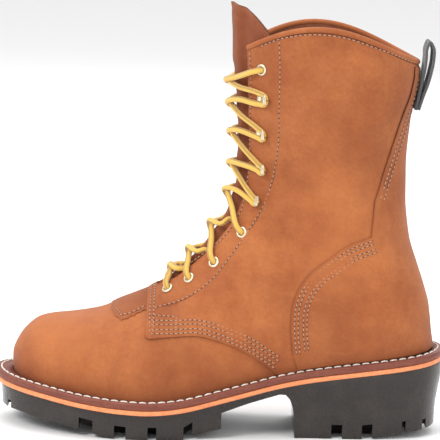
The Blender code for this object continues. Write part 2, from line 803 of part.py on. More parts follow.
def make_outsole(rubber):
    rings = []
    for z, inset in ((row.z, row.inset) for row in RUBBER_SIDE):
        rings.append([(x, y, z) for x, y in sole_loop(72, -inset)])
    outsole = add_object("outsole", loft("outsole", rings), rubber, smooth=30)
    top = [(x, float(sole_top(x)) - MIDSOLE_HEIGHT - GAP) for x in np.linspace(161.0, -160.0, 30)]
    under = [(row.x, row.z) for row in RUBBER_UNDERSIDE]
    profile = add_object("outsole_profile", side_prism("outsole_profile", under + top, 90.0))
    boolean(outsole, "INTERSECT", profile)
    boolean(outsole, "DIFFERENCE", make_tread(), overlapping=True)
    return outsole


def underside(x):
    return float(np.interp(x, column(RUBBER_UNDERSIDE, "x"), column(RUBBER_UNDERSIDE, "z")))


def block(x0, x1, y0, y1, depth):
    """Groove cutter from below the ground up into the rubber."""
    ring = [(x0, y0), (x1, y0), (x1, y1), (x0, y1)]
    low = [(x, y, -6.0) for x, y in ring]
    high = [(x, y, underside(x) + depth) for x, y in ring]
    return [low, high]


def make_tread():
    """All grooves of the tread, as one cutter."""
    blocks = []
    for notch in SIDE_NOTCHES:
        x0 = notch.x - notch.width / 2.0
        x1 = notch.x + notch.width / 2.0
        along = (notch.x - SOLE_TOE_X) / SOLE_LENGTH
        half, middle = (float(v) for v in breadth(SOLE_OUTLINE, along))
        inner = max(half - TREAD_INSET - TREAD_WIDTH / 2.0, 0.0)
        blocks.append(block(x0, x1, middle - half - 9.0, middle - inner, notch.depth))
        blocks.append(block(x0, x1, middle + inner, middle + half + 9.0, notch.depth))
    grooves = [loft("groove", rings) for rings in blocks + channel_rings()]
    return add_object("tread", joined("tread", grooves))


def channel_rings():
    """Lengthwise channels inside the edge lugs, and the middle grooves."""
    found = []
    xs = np.linspace(-132.0, -2.0, 12)
    for side in (-1, 1):
        rings = []
        for x in xs:
            half, middle = (float(v) for v in breadth(SOLE_OUTLINE, (x - SOLE_TOE_X) / SOLE_LENGTH))
            a = middle + side * (half - TREAD_INSET)
            b = middle + side * (half - TREAD_INSET - TREAD_WIDTH)
            top = underside(x) + TREAD_DEPTH - 1.5
            rings.append([(x, a, -6.0), (x, b, -6.0), (x, b, top), (x, a, top)])
        found.append(rings)
    for x in MIDDLE_GROOVES:
        half, middle = (float(v) for v in breadth(SOLE_OUTLINE, (x - SOLE_TOE_X) / SOLE_LENGTH))
        reach = half - TREAD_INSET - TREAD_WIDTH / 2.0
        found.append(block(x - 2.6, x + 2.6, middle - reach, middle + reach, TREAD_DEPTH - 2.5))
    front, back, half = HEEL_POCKET
    found.append(block(front, back, -half, half, TREAD_DEPTH - 2.0))
    return found


def make_eyelets(brass):
    profile = (
        (2.2, VAMP_INSIDE - 0.1), (2.8, VAMP_INSIDE - 0.1), (2.8, GAP), (4.2, GAP), (3.0, GAP + 1.0),
    )
    rows = [row for row in LACE_ROWS if row.fitting == "eyelet"]
    for n, row in enumerate(rows):
        for side, word in ((-1, "outer"), (1, "inner")):
            centre, normal, _ = seat(row.row, row.distance, side)
            name = f"eyelet_{word}_{n + 1}"
            add_object(name, turned(name, profile, 8, centre, normal), brass, smooth=40)


def make_hooks(brass):
    side_view = (
        (-5.2, 0.0), (1.2, 0.0), (1.2, 3.4), (4.4, 3.6), (5.6, 4.6),
        (5.0, 5.4), (3.8, 4.6), (0.2, 4.5), (0.1, 1.0), (-5.2, 0.9),
    )
    rows = [row for row in LACE_ROWS if row.fitting == "hook"]
    for n, row in enumerate(rows):
        for side, word in ((-1, "outer"), (1, "inner")):
            centre, normal, up = seat(row.row, row.distance, side, HOOK_SEAT)
            back = (up.cross(normal) * side).normalized()
            if back.x < 0.0:
                back = -back
            across = back.cross(normal)
            rings = []
            for offset in (-3.2, 3.2):
                ring = [tuple(centre + back * a + normal * h + across * offset) for a, h in side_view]
                rings.append(ring)
            name = f"hook_{word}_{n + 1}"
            add_object(name, loft(name, rings), brass, smooth=30)


def strand(low, high, side):
    """Half crossing: from one fitting over the ridge to the next one's far side."""
    lift = LACE_RADIUS + LACE_SEAT
    tucked = high.fitting == "eyelet" and high is not LACE_ROWS[-1]
    from_s = low.row + (LACE_STEP if low.fitting == "hook" else 0.0)
    to_s = high.row - (LACE_STEP if high.fitting == "hook" else 0.0)
    near = low.distance - (LACE_CLEAR if low.fitting == "hook" else EYELET_CLEAR)
    far = fan_row(high.row).gap - 3.5 if tucked else high.distance - LACE_CLEAR
    middle = (from_s + to_s) / 2.0
    points = [seat(from_s, near, side, lift)[0]]
    for share in (0.35, 0.7):
        s = from_s + (middle - from_s) * share
        points.append(seat(s, near * (1.0 - share), side, lift + 0.5)[0])
    points.append(seat(middle, 0.01, side, lift + 1.0)[0])
    for share in (0.4, 1.0):
        s = middle + (to_s - middle) * share
        points.append(seat(s, far * share, -side, lift + 0.2)[0])
    return smooth_path(points, 8)


def make_laces(cord):
    for n in range(len(LACE_ROWS) - 1):
        low, high = LACE_ROWS[n], LACE_ROWS[n + 1]
        name = f"lace_crossing_{n + 1}"
        first = add_object(name, tube(name, strand(low, high, -1), LACE_RADIUS, 5), cord, smooth=60)
        second_name = name + "_return"
        second = add_object(second_name, tube(second_name, strand(low, high, 1), LACE_RADIUS, 5), cord)
        boolean(first, "UNION", second)


def make_pull_loop(webbing):
    path = smooth_path(PULL_PATH, 23)
    left, right = [], []
    for n, point in enumerate(path):
        run = path[min(n + 1, len(path) - 1)] - path[max(n - 1, 0)]
        across = np.array([-run[1], run[0]]) / np.linalg.norm(run) * PULL_HALF_THICKNESS
        left.append(tuple(point + across))
        right.append(tuple(point - across))
    outline = left + right[::-1]
    return add_object("pull_loop", side_prism("pull_loop", outline, PULL_WIDTH / 2.0), webbing, smooth=40)


def main():
    for thing in list(bpy.data.objects):
        bpy.data.objects.remove(thing, do_unlink=True)
    tan = material("tan_leather", (0.42, 0.16, 0.07), 0.75)
    brown = material("brown_leather", (0.30, 0.10, 0.05), 0.75)
    welt_brown = material("welt_leather", (0.22, 0.06, 0.03), 0.6)
    orange = material("midsole_leather", (0.80, 0.30, 0.12), 0.5)
    rubber = material("black_rubber", (0.045, 0.035, 0.032), 0.8)
    brass = material("pale_brass", (0.80, 0.70, 0.50), 0.35, 1.0)
    cord = material("gold_lace", (0.75, 0.55, 0.16), 0.8)
    webbing = material("grey_webbing", (0.05, 0.05, 0.05), 0.9)
    make_outsole(rubber)
    make_midsole(orange)
    make_welt(welt_brown)
    make_insole(brown)
    make_upper(tan)
    make_tongue(brown)
    make_collar_binding(tan)
    make_eyelets(brass)
    make_hooks(brass)
    make_laces(cord)
    make_pull_loop(webbing)


main()
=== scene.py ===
import math
from collections import namedtuple

import bmesh
import bpy
import numpy as np
from mathutils import Matrix, Vector, kdtree


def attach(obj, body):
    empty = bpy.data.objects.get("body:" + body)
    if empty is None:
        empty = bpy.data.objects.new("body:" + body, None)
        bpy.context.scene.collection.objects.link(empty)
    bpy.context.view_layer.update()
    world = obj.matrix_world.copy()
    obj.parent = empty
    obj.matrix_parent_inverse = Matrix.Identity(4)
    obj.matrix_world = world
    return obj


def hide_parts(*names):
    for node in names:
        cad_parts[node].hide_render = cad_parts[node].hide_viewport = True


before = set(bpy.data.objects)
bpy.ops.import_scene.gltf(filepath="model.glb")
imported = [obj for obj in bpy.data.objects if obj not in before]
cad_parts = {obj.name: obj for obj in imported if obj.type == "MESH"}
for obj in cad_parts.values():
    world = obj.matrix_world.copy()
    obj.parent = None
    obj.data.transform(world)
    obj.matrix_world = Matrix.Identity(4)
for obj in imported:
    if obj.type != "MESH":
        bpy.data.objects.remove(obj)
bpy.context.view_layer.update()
bpy.ops.object.select_all(action="DESELECT")

# Logger boot, left, as in the photo: sizes in millimetres, objects in metres
mm = 0.001

gap = 0.3   # between pieces that touch
soleLength = 314.4         # welt, toe to heel
footToeX = -144.9         # where the upper meets the sole at the toe
footHeelX = 148.7         # and at the heel
weltHeight = 5.0
midsoleHeight = 3.2
vampInside = -3.0          # offsets from the upper's own surface
vampOutside = -1.0
quarterOutside = 0.0
patchOutside = -0.35
counterOutside = 1.0
tongueUnder = -4.5         # tongue's outside, below the eyestays
tongueProud = -0.6         # and where it fills the throat
tongueThickness = 2.6
tongueTop = 31.0           # rows of the fan
tongueFoot = 11.2
throatRow = 11.0
collarRow = 29.0
heelRow = 20.0
bowSkew = 1.12             # the collar is highest a little ahead of its middle
bindingRadius = 2.1
pullWidth = 24.0
pullHalfThickness = 0.85
treadDepth = 9.0
treadWidth = 5.0
treadInset = 19.0


def tableOf(kind, rows):
    return tuple(kind(*row) for row in rows)


# Outline of the sole and of the foot inside it, as seen from above
outlineRow = namedtuple("outlineRow", "along half middle")
soleOutline = tableOf(outlineRow, (
    (0.00, 0.0, 9.0), (0.03, 27.0, 7.5), (0.07, 38.0, 6.0), (0.12, 46.0, 4.5), (0.20, 54.0, 1.5),
    (0.29, 57.5, -0.5), (0.38, 55.5, -2.5), (0.48, 48.0, -4.0), (0.58, 41.5, -3.5),
    (0.68, 39.0, -2.0), (0.80, 39.5, -0.5), (0.89, 37.5, 0.0), (0.95, 30.5, 0.0), (1.00, 0.0, 0.0),
))
footOutline = tableOf(outlineRow, (
    (0.00, 0.0, 8.0), (0.045, 29.0, 6.5), (0.10, 39.5, 5.0), (0.17, 46.0, 3.0), (0.26, 49.5, 0.0),
    (0.35, 48.0, -2.0), (0.45, 42.0, -3.5), (0.56, 35.5, -3.5), (0.68, 32.5, -2.0),
    (0.80, 33.5, -0.5), (0.89, 32.0, 0.0), (0.95, 25.5, 0.0), (1.00, 0.0, 0.0),
))

# Top of the midsole, on which the welt, the insole and the upper stand
heightRow = namedtuple("heightRow", "x z")
soleTopLine = tableOf(heightRow, (
    (-158.5, 32.5), (-145.3, 30.8), (-122.0, 27.8), (-95.0, 24.3), (-67.0, 21.8), (-46.0, 21.2),
    (-24.0, 23.2), (1.4, 28.9), (20.0, 33.4), (40.0, 38.5), (56.0, 41.8), (73.0, 44.6),
    (106.0, 49.2), (133.0, 52.6), (158.5, 56.0),
))

# Underside of the rubber from toe to heel: tread, waist, breast and heel
rubberUnderside = tableOf(heightRow, (
    (-160.0, 12.5), (-138.0, 11.5), (-112.0, 7.5), (-94.0, 4.4), (-78.0, 1.6), (-66.0, 0.0),
    (-22.0, 0.0), (-17.5, 3.5), (2.6, 7.5), (2.7, 18.6), (22.0, 25.2), (42.3, 31.2), (46.5, 31.0),
    (49.5, 27.6), (51.6, 22.0), (52.6, 16.8), (53.4, 0.0), (104.0, 0.0), (112.5, 2.2), (125.5, 4.4),
    (140.0, 5.4), (161.0, 7.6),
))

# Inset of the rubber's side below the midsole: the heel is undercut
sideRow = namedtuple("sideRow", "z inset")
rubberSide = tableOf(sideRow, (
    (-4.0, 5.0), (20.0, 4.4), (31.0, 2.8), (45.0, 0.3), (70.0, 0.0),
))

# The heel's back line
backRow = namedtuple("backRow", "z x")
backLine = tableOf(backRow, (
    (50.0, 148.7), (62.0, 148.6), (71.4, 147.1), (82.0, 145.8), (92.7, 144.1), (104.0, 140.7),
    (121.0, 134.7), (135.0, 129.9), (149.0, 127.3), (160.0, 125.9), (177.0, 125.3), (191.0, 125.0),
    (212.0, 126.3), (226.0, 127.8), (240.0, 130.7), (250.0, 132.2), (262.0, 132.6), (300.0, 133.0),
))

# The last as a fan of sections, each from the foot line up to the ridge.
# foot: X along the sole, and past the heel the height climbed up the back.
# side: widest half breadth.  swell, taper: where it is reached and left.
# power: roundness of the ridge.  middle: sideways shift of the ridge.
# gap: half width of the throat.  bow: rise of the section's middle.
sectionRow = namedtuple("sectionRow", "foot ridgeX ridgeZ side swell taper power middle gap bow")
fanTable = tableOf(sectionRow, (
    (-144.9, -146.3, 42.0, 0.0, 0.25, 0.30, 2.3, 8.0, 0.0, 0.0),
    (-144.0, -145.8, 49.6, 8.5, 0.25, 0.30, 2.3, 7.9, 0.0, 0.0),
    (-141.0, -142.9, 57.0, 16.8, 0.25, 0.30, 2.3, 7.6, 0.0, 0.0),
    (-136.0, -137.9, 64.6, 24.8, 0.25, 0.30, 2.3, 7.3, 0.0, 0.0),
    (-127.5, -129.3, 72.1, 33.0, 0.25, 0.30, 2.3, 7.0, 0.0, 0.0),
    (-117.0, -119.3, 75.3, 39.4, 0.25, 0.30, 2.3, 6.6, 0.0, 0.0),
    (-102.0, -105.1, 77.1, 44.6, 0.25, 0.30, 2.25, 6.0, 0.0, 0.0),
    (-87.0, -91.2, 79.6, 47.9, 0.25, 0.30, 2.15, 5.5, 0.0, 0.0),
    (-74.0, -81.0, 82.6, 49.6, 0.25, 0.28, 2.05, 5.0, 0.0, 0.0),
    (-60.0, -70.5, 88.0, 50.0, 0.25, 0.28, 1.95, 4.5, 0.0, 0.0),
    (-45.0, -57.9, 93.4, 49.0, 0.26, 0.28, 1.90, 4.0, 0.0, 0.0),
    (-28.0, -45.3, 99.3, 46.5, 0.28, 0.30, 1.85, 3.5, 4.0, 0.0),
    (-6.0, -34.3, 107.0, 43.2, 0.30, 0.32, 1.80, 3.0, 9.5, 0.0),
    (18.0, -24.0, 117.0, 40.6, 0.30, 0.34, 1.80, 2.5, 11.0, 0.0),
    (44.0, -13.5, 128.5, 39.0, 0.30, 0.36, 1.80, 2.0, 11.8, 0.0),
    (72.0, -4.0, 142.0, 38.5, 0.30, 0.38, 1.80, 1.5, 12.5, 0.0),
    (100.0, 2.5, 154.0, 38.5, 0.30, 0.42, 1.80, 1.0, 13.0, 0.0),
    (125.0, 6.5, 167.0, 38.5, 0.30, 0.46, 1.78, 0.5, 13.6, 0.0),
    (139.0, 8.0, 176.0, 38.5, 0.30, 0.48, 1.76, 0.3, 14.0, 0.0),
    (146.5, 8.4, 182.0, 38.5, 0.30, 0.50, 1.75, 0.2, 14.3, 0.0),
    (148.7, 8.5, 187.0, 38.5, 0.30, 0.50, 1.75, 0.0, 14.6, 0.0),
    (164.0, 8.4, 192.0, 38.5, 0.32, 0.50, 1.75, 0.0, 15.0, 0.0),
    (186.0, 8.3, 200.0, 38.6, 0.35, 0.50, 1.75, 0.0, 15.5, 0.0),
    (206.0, 8.3, 207.0, 39.0, 0.38, 0.50, 1.75, 0.0, 16.0, 0.0),
    (229.0, 7.9, 215.0, 39.6, 0.40, 0.50, 1.75, 0.0, 16.5, 0.0),
    (254.0, 7.2, 225.0, 40.5, 0.42, 0.50, 1.75, 0.0, 17.2, 0.5),
    (283.0, 6.3, 236.0, 41.5, 0.42, 0.50, 1.75, 0.0, 18.0, 4.0),
    (308.0, 5.3, 245.0, 42.4, 0.42, 0.50, 1.75, 0.0, 18.6, 9.0),
    (332.0, 4.4, 253.0, 43.3, 0.42, 0.50, 1.75, 0.0, 19.2, 15.5),
    (352.0, 3.6, 260.5, 44.0, 0.42, 0.50, 1.75, 0.0, 19.6, 21.5),
    (372.0, 2.4, 279.0, 44.0, 0.42, 0.50, 1.75, 0.0, 19.6, 21.5),
    (388.0, 1.8, 297.5, 44.0, 0.42, 0.50, 1.75, 0.0, 19.6, 21.5),
))

# Side view outlines of the layers that lie over the vamp, as x and z.
# The quarter and the counter end a little above the welt.
quarterFront = (
    (-50.8, 320.0), (-50.8, 69.0), (-48.3, 67.8), (-32.0, 69.6), (-13.3, 70.6),
    (3.7, 66.2), (15.0, 61.8), (24.6, 56.3), (36.4, 48.2),
)
counterFront = (
    (129.5, 320.0), (128.6, 250.0), (126.1, 237.0), (121.8, 225.4), (113.8, 201.3),
    (108.6, 184.0), (103.5, 166.6), (101.6, 142.0), (87.2, 136.2), (70.5, 124.0),
    (63.5, 118.4), (57.3, 111.2), (52.6, 103.0), (49.6, 93.7), (48.8, 76.2), (50.5, 60.0),
)
tonguePatch = (
    (-77.0, 110.0), (-76.2, 83.0), (-72.5, 80.0), (-67.5, 78.2), (-62.5, 80.0),
    (-57.0, 82.6), (-52.0, 85.0), (-46.0, 87.5), (-46.0, 110.0),
)

# Lace rows from the toe up: where each eyelet or hook sits on the fan
laceRow = namedtuple("laceRow", "row distance fitting")
laceRows = tableOf(laceRow, (
    (11.6, 17.5, "eyelet"), (12.8, 21.5, "eyelet"), (14.1, 25.5, "eyelet"), (15.9, 28.0, "eyelet"),
    (18.0, 29.0, "hook"), (21.9, 33.0, "hook"), (24.5, 34.0, "hook"), (26.2, 35.5, "hook"),
    (27.6, 35.0, "eyelet"),
))

# Centre line of the webbing pull loop, up from the back seam and down again
pullPath = (
    (130.6, 227.0), (132.6, 237.0), (134.3, 246.5), (135.9, 255.0),
    (136.6, 263.0), (136.9, 269.5), (138.9, 273.6), (141.3, 270.0),
    (141.7, 262.0), (140.4, 253.5), (138.3, 245.0), (135.4, 236.5), (132.6, 227.0),
)

# Notches in the rubber's edge, by their x, width and depth
notchRow = namedtuple("notchRow", "x width depth")
sideNotches = tableOf(notchRow, (
    (-145.5, 2.4, 5.0), (-90.2, 9.6, 9.0), (-66.5, 8.0, 9.0), (-44.5, 6.0, 9.0), (-20.0, 6.0, 9.0),
    (82.5, 7.6, 10.0), (103.5, 7.2, 10.0), (129.0, 2.6, 8.0), (143.5, 2.6, 7.0),
))

# Open centre of the tread: crosswise grooves between the middle lugs
middleGrooves = (-124.0, -101.0, -78.0, -55.0, -32.0, -9.0)
heelPocket = (70.0, 122.0, 15.0)   # front, back, half width


def through(keys, values, at):
    keys = np.asarray(keys, float)
    values = np.asarray(values, float)
    slopes = np.gradient(values, keys)
    at = np.clip(at, keys[0], keys[-1])
    k = np.clip(np.searchsorted(keys, at, side="right") - 1, 0, len(keys) - 2)
    span = keys[k + 1] - keys[k]
    u = (at - keys[k]) / span
    return ((2 * u ** 3 - 3 * u ** 2 + 1) * values[k]
            + (u ** 3 - 2 * u ** 2 + u) * span * slopes[k]
            + (3 * u ** 2 - 2 * u ** 3) * values[k + 1]
            + (u ** 3 - u ** 2) * span * slopes[k + 1])


def column(table, name):
    return [getattr(row, name) for row in table]


def soleTop(x):
    return through(column(soleTopLine, "x"), column(soleTopLine, "z"), x)


def turn(along):
    return np.arccos(np.clip(1.0 - 2.0 * np.asarray(along, float), -1.0, 1.0))


def breadth(outline, along):
    keys = turn(column(outline, "along"))
    half = through(keys, column(outline, "half"), turn(along))
    middle = through(keys, column(outline, "middle"), turn(along))
    return np.maximum(half, 0.0), middle


def outlineLoop(outline, toe, length, points, outset=0.0):
    angle = np.linspace(0.0, 2.0 * math.pi, points, endpoint=False)

    def at(a):
        along = (1.0 - np.cos(a)) / 2.0
        half, middle = breadth(outline, along)
        return toe + along * length, middle - np.sign(np.sin(a)) * half

    x, y = at(angle)
    step = 0.01
    xa, ya = at(angle - step)
    xb, yb = at(angle + step)
    tangent = np.hypot(xb - xa, yb - ya)
    x = x + (yb - ya) / tangent * outset
    y = y - (xb - xa) / tangent * outset
    return np.stack([x, y], axis=1)


soleToeX = -soleLength / 2.0
footLength = footHeelX - footToeX
soleEdge = outlineLoop(soleOutline, soleToeX, soleLength, 360)
yShift = -(soleEdge[:, 1].max() + soleEdge[:, 1].min()) / 2.0
heelZ = float(soleTop(footHeelX)) + gap


def soleLoop(points, outset=0.0):
    return outlineLoop(soleOutline, soleToeX, soleLength, points, outset)


# The upper's own surface

fanValues = np.array(fanTable, float)
fanSlopes = np.gradient(fanValues, axis=0)


def fanRow(s):
    at = min(max(float(s), 0.0), len(fanTable) - 1.0)
    k = min(int(at), len(fanTable) - 2)
    u = at - k
    values = ((2 * u ** 3 - 3 * u ** 2 + 1) * fanValues[k] + (u ** 3 - 2 * u ** 2 + u) * fanSlopes[k]
              + (3 * u ** 2 - 2 * u ** 3) * fanValues[k + 1] + (u ** 3 - u ** 2) * fanSlopes[k + 1])
    return sectionRow(*values.tolist())


def section(s, t):
    row = fanRow(s)
    if row.foot <= footHeelX:
        along = (row.foot - footToeX) / footLength
        base, baseMiddle = breadth(footOutline, along)
        footX = row.foot
        footZ = float(soleTop(row.foot)) + gap
    else:
        base, baseMiddle = 0.0, 0.0
        footZ = heelZ + row.foot - footHeelX
        footX = float(through(column(backLine, "z"), column(backLine, "x"), footZ))
    side = max(row.side, float(base))
    rise = 1.0 - (1.0 - np.minimum(t / row.swell, 1.0)) ** 2
    lower = np.sqrt(base ** 2 + (side ** 2 - base ** 2) * rise)
    u = np.clip((t - row.taper) / (1.0 - row.taper), 0.0, 1.0)
    half = lower * (1.0 - u ** row.power) ** (1.0 / row.power)
    if s <= 0.0:
        half = half * 0.0
    x = footX + (row.ridgeX - footX) * t
    z = footZ + (row.ridgeZ - footZ) * t + row.bow * np.sin(math.pi * t ** bowSkew)
    middle = baseMiddle + (row.middle - baseMiddle) * t
    return x, z, half, middle


def surface(s, t, side):
    x, z, half, middle = section(s, np.asarray(t, float))
    return np.stack([x, middle + side * half, z], axis=-1)


def shareAt(s, side, distance):
    t = 1.0 - np.linspace(0.0, 0.9, 241) ** 1.6
    points = surface(s, t, side)
    run = np.concatenate([[0.0], np.cumsum(np.linalg.norm(np.diff(points, axis=0), axis=1))])
    return np.interp(distance, run, t)


def seat(s, distance, side, lift=0.0):
    def at(row, d):
        return Vector(surface(row, shareAt(row, side, d), side))

    step = 0.05
    point = at(s, distance)
    across = at(s, distance + 0.5) - point
    up = at(s + step, distance) - point
    normal = across.cross(up).normalized() * -side
    return point + normal * lift, normal, up.normalized()


def edgeShare(s, margin=0.0):
    row = fanRow(s)
    if s < throatRow:
        return 1.0
    t = np.linspace(1.0, 0.5, 401)
    half = section(s, t)[2]
    return float(np.interp(row.gap + margin, half, t))


# Finishes

leather = {
    "base": (0.310, 0.082, 0.021),
    "pale": (0.44, 0.142, 0.042),
    # darkToneAndShade: dark tone for the leather's darker patches, and for painted shade
    "darkToneAndShade": (0.130, 0.026, 0.007),
    "lining": (0.150, 0.040, 0.016),
    "welt": (0.160, 0.030, 0.014),
    "midsole": (0.76, 0.235, 0.085),
}
trim = {
    "thread": (0.50, 0.265, 0.165),
    "weltThread": (0.86, 0.82, 0.74),
    # hole: dark colour of small discs that paint the shade inside the needle holes
    "hole": (0.05, 0.014, 0.008),
    "rubber": (0.022, 0.018, 0.016),
    "brass": (0.78, 0.70, 0.55),
    "lace": (0.72, 0.45, 0.075),
    "laceStripe": (0.34, 0.20, 0.06),
    "webbing": (0.035, 0.034, 0.036),
}


def newMaterial(name, colour, roughness, metallic=0.0):
    finish = bpy.data.materials.new(name)
    finish.use_nodes = True
    shader = finish.node_tree.nodes["Principled BSDF"]
    shader.inputs["Base Color"].default_value = (*colour, 1.0)
    shader.inputs["Roughness"].default_value = roughness
    shader.inputs["Metallic"].default_value = metallic
    return finish


def addNode(tree, kind, **settings):
    node = tree.nodes.new(kind)
    for name, value in settings.items():
        setattr(node, name, value)
    return node


def noise(tree, scale, detail=4.0, roughness=0.55, stretch=(1.0, 1.0, 1.0)):
    place = addNode(tree, "ShaderNodeTexCoord")
    mapping = addNode(tree, "ShaderNodeMapping")
    mapping.inputs["Scale"].default_value = stretch
    texture = addNode(tree, "ShaderNodeTexNoise")
    texture.inputs["Scale"].default_value = scale
    texture.inputs["Detail"].default_value = detail
    texture.inputs["Roughness"].default_value = roughness
    tree.links.new(place.outputs["Object"], mapping.inputs["Vector"])
    tree.links.new(mapping.outputs["Vector"], texture.inputs["Vector"])
    return texture.outputs["Fac"]


def ramp(tree, value, low, high):
    node = addNode(tree, "ShaderNodeMapRange")
    node.inputs["From Min"].default_value = low
    node.inputs["From Max"].default_value = high
    tree.links.new(value, node.inputs["Value"])
    return node.outputs["Result"]


def scaled(tree, value, factor):
    node = addNode(tree, "ShaderNodeMath", operation="MULTIPLY")
    tree.links.new(value, node.inputs[0])
    node.inputs[1].default_value = factor
    return node.outputs["Value"]


def added(tree, first, second):
    node = addNode(tree, "ShaderNodeMath", operation="ADD")
    tree.links.new(first, node.inputs[0])
    tree.links.new(second, node.inputs[1])
    return node.outputs["Value"]


def mixed(tree, share, first, second):
    node = addNode(tree, "ShaderNodeMix", data_type="RGBA")
    tree.links.new(share, node.inputs["Factor"])
    for value, slot in ((first, 6), (second, 7)):
        if isinstance(value, tuple):
            node.inputs[slot].default_value = (*value, 1.0)
        else:
            tree.links.new(value, node.inputs[slot])
    return node.outputs[2]


def attribute(tree, name):
    return addNode(tree, "ShaderNodeAttribute", attribute_name=name).outputs["Fac"]


def bump(tree, height, strength, distance):
    node = addNode(tree, "ShaderNodeBump")
    node.inputs["Strength"].default_value = strength
    node.inputs["Distance"].default_value = distance
    tree.links.new(height, node.inputs["Height"])
    tree.links.new(node.outputs["Normal"], tree.nodes["Principled BSDF"].inputs["Normal"])


def nubuck(name, base, pale, darkToneAndShade, toned=True, sheen=0.06):
    finish = newMaterial(name, base, 0.78)
    tree = finish.node_tree
    shader = tree.nodes["Principled BSDF"]
    shader.inputs["Sheen Weight"].default_value = sheen
    shader.inputs["Sheen Roughness"].default_value = 0.6
    shader.inputs["Specular IOR Level"].default_value = 0.25
    clouds = ramp(tree, noise(tree, 26.0, 5.0, 0.6), 0.38, 0.64)
    specks = ramp(tree, noise(tree, 420.0, 3.0, 0.6), 0.30, 0.72)
    nap = ramp(tree, noise(tree, 120.0, 4.0, 0.6, (1.0, 1.0, 0.45)), 0.34, 0.70)
    mottle = added(tree, scaled(tree, clouds, 0.80), scaled(tree, nap, 0.34))
    colour = mixed(tree, mottle, base, pale)
    broad = ramp(tree, noise(tree, 11.0, 4.0, 0.6), 0.42, 0.74)
    scuffs = ramp(tree, noise(tree, 70.0, 6.0, 0.7, (0.35, 1.0, 1.6)), 0.60, 0.78)
    colour = mixed(tree, scaled(tree, broad, 0.46), colour, darkToneAndShade)
    colour = mixed(tree, scaled(tree, specks, 0.24), colour, darkToneAndShade)
    colour = mixed(tree, scaled(tree, scuffs, 0.38), colour, pale)
    if toned:
        # painted shade above the welt and on the back of the shaft, with darker spots, seams and patch tone
        colour = mixed(tree, attribute(tree, "shadeAndDarkening"), colour, darkToneAndShade)
        colour = mixed(tree, attribute(tree, "rub"), colour, pale)
    tree.links.new(colour, shader.inputs["Base Color"])
    grain = added(tree, scaled(tree, noise(tree, 900.0, 3.0, 0.7), 0.6), scaled(tree, nap, 0.5))
    bump(tree, grain, 0.28, 0.0005)
    rough = added(tree, scaled(tree, nap, 0.14), scaled(tree, specks, 0.06))
    lift = addNode(tree, "ShaderNodeMath", operation="ADD")
    tree.links.new(rough, lift.inputs[0])
    lift.inputs[1].default_value = 0.66
    tree.links.new(lift.outputs["Value"], shader.inputs["Roughness"])
    return finish


def threadFinish(name, colour):
    finish = newMaterial(name, colour, 0.6)
    tree = finish.node_tree
    dark = tuple(c * 0.6 for c in colour)
    strands = ramp(tree, noise(tree, 1500.0, 2.0), 0.35, 0.65)
    tree.links.new(mixed(tree, strands, dark, colour), tree.nodes["Principled BSDF"].inputs["Base Color"])
    bump(tree, strands, 0.4, 0.0002)
    return finish


def rubberFinish():
    finish = newMaterial("rubberFinish", trim["rubber"], 0.72)
    tree = finish.node_tree
    shader = tree.nodes["Principled BSDF"]
    shader.inputs["Specular IOR Level"].default_value = 0.35
    dust = ramp(tree, noise(tree, 45.0, 6.0, 0.65), 0.46, 0.80)
    fine = ramp(tree, noise(tree, 700.0, 3.0), 0.40, 0.80)
    dusty = mixed(tree, scaled(tree, dust, 0.5), trim["rubber"], (0.060, 0.048, 0.040))
    colour = mixed(tree, scaled(tree, fine, 0.35), dusty, (0.048, 0.040, 0.036))
    tree.links.new(colour, shader.inputs["Base Color"])
    bump(tree, fine, 0.25, 0.0003)
    rough = added(tree, scaled(tree, dust, 0.20), scaled(tree, fine, 0.55))
    tree.links.new(rough, shader.inputs["Roughness"])
    return finish


def edgeFinish(name, base, dark, pale, roughness):
    finish = newMaterial(name, base, roughness)
    tree = finish.node_tree
    shader = tree.nodes["Principled BSDF"]
    layers = ramp(tree, noise(tree, 60.0, 4.0, 0.6, (1.0, 1.0, 9.0)), 0.35, 0.70)
    specks = ramp(tree, noise(tree, 500.0, 3.0), 0.42, 0.74)
    colour = mixed(tree, scaled(tree, layers, 0.55), base, pale)
    colour = mixed(tree, scaled(tree, specks, 0.40), colour, dark)
    tree.links.new(colour, shader.inputs["Base Color"])
    bump(tree, added(tree, scaled(tree, layers, 0.5), specks), 0.30, 0.0003)
    return finish


def brassFinish():
    finish = newMaterial("brassFinish", trim["brass"], 0.30, 1.0)
    tree = finish.node_tree
    shader = tree.nodes["Principled BSDF"]
    wear = ramp(tree, noise(tree, 500.0, 4.0), 0.35, 0.70)
    tree.links.new(mixed(tree, wear, trim["brass"], (0.62, 0.52, 0.36)), shader.inputs["Base Color"])
    bump(tree, wear, 0.12, 0.0002)
    tree.links.new(ramp(tree, wear, -1.0, 2.4), shader.inputs["Roughness"])
    return finish


def laceFinish():
    finish = newMaterial("laceFinish", trim["lace"], 0.8)
    tree = finish.node_tree
    shader = tree.nodes["Principled BSDF"]
    shader.inputs["Sheen Weight"].default_value = 0.3
    place = addNode(tree, "ShaderNodeUVMap", uv_map="alongLace")
    split = addNode(tree, "ShaderNodeSeparateXYZ")
    tree.links.new(place.outputs["UV"], split.inputs["Vector"])
    wave = addNode(tree, "ShaderNodeTexWave", wave_type="BANDS", bands_direction="DIAGONAL")
    wave.inputs["Scale"].default_value = 7.0
    wave.inputs["Distortion"].default_value = 1.0
    tree.links.new(place.outputs["UV"], wave.inputs["Vector"])
    around = addNode(tree, "ShaderNodeMath", operation="SINE")
    tree.links.new(scaled(tree, split.outputs["Y"], 4.0 * math.pi), around.inputs[0])
    stripe = ramp(tree, around.outputs["Value"], 0.55, 0.85)
    weave = wave.outputs["Fac"]
    colour = mixed(tree, scaled(tree, weave, 0.35), trim["lace"], (0.52, 0.33, 0.08))
    colour = mixed(tree, scaled(tree, stripe, 0.75), colour, trim["laceStripe"])
    tree.links.new(colour, shader.inputs["Base Color"])
    bump(tree, weave, 0.5, 0.0003)
    return finish


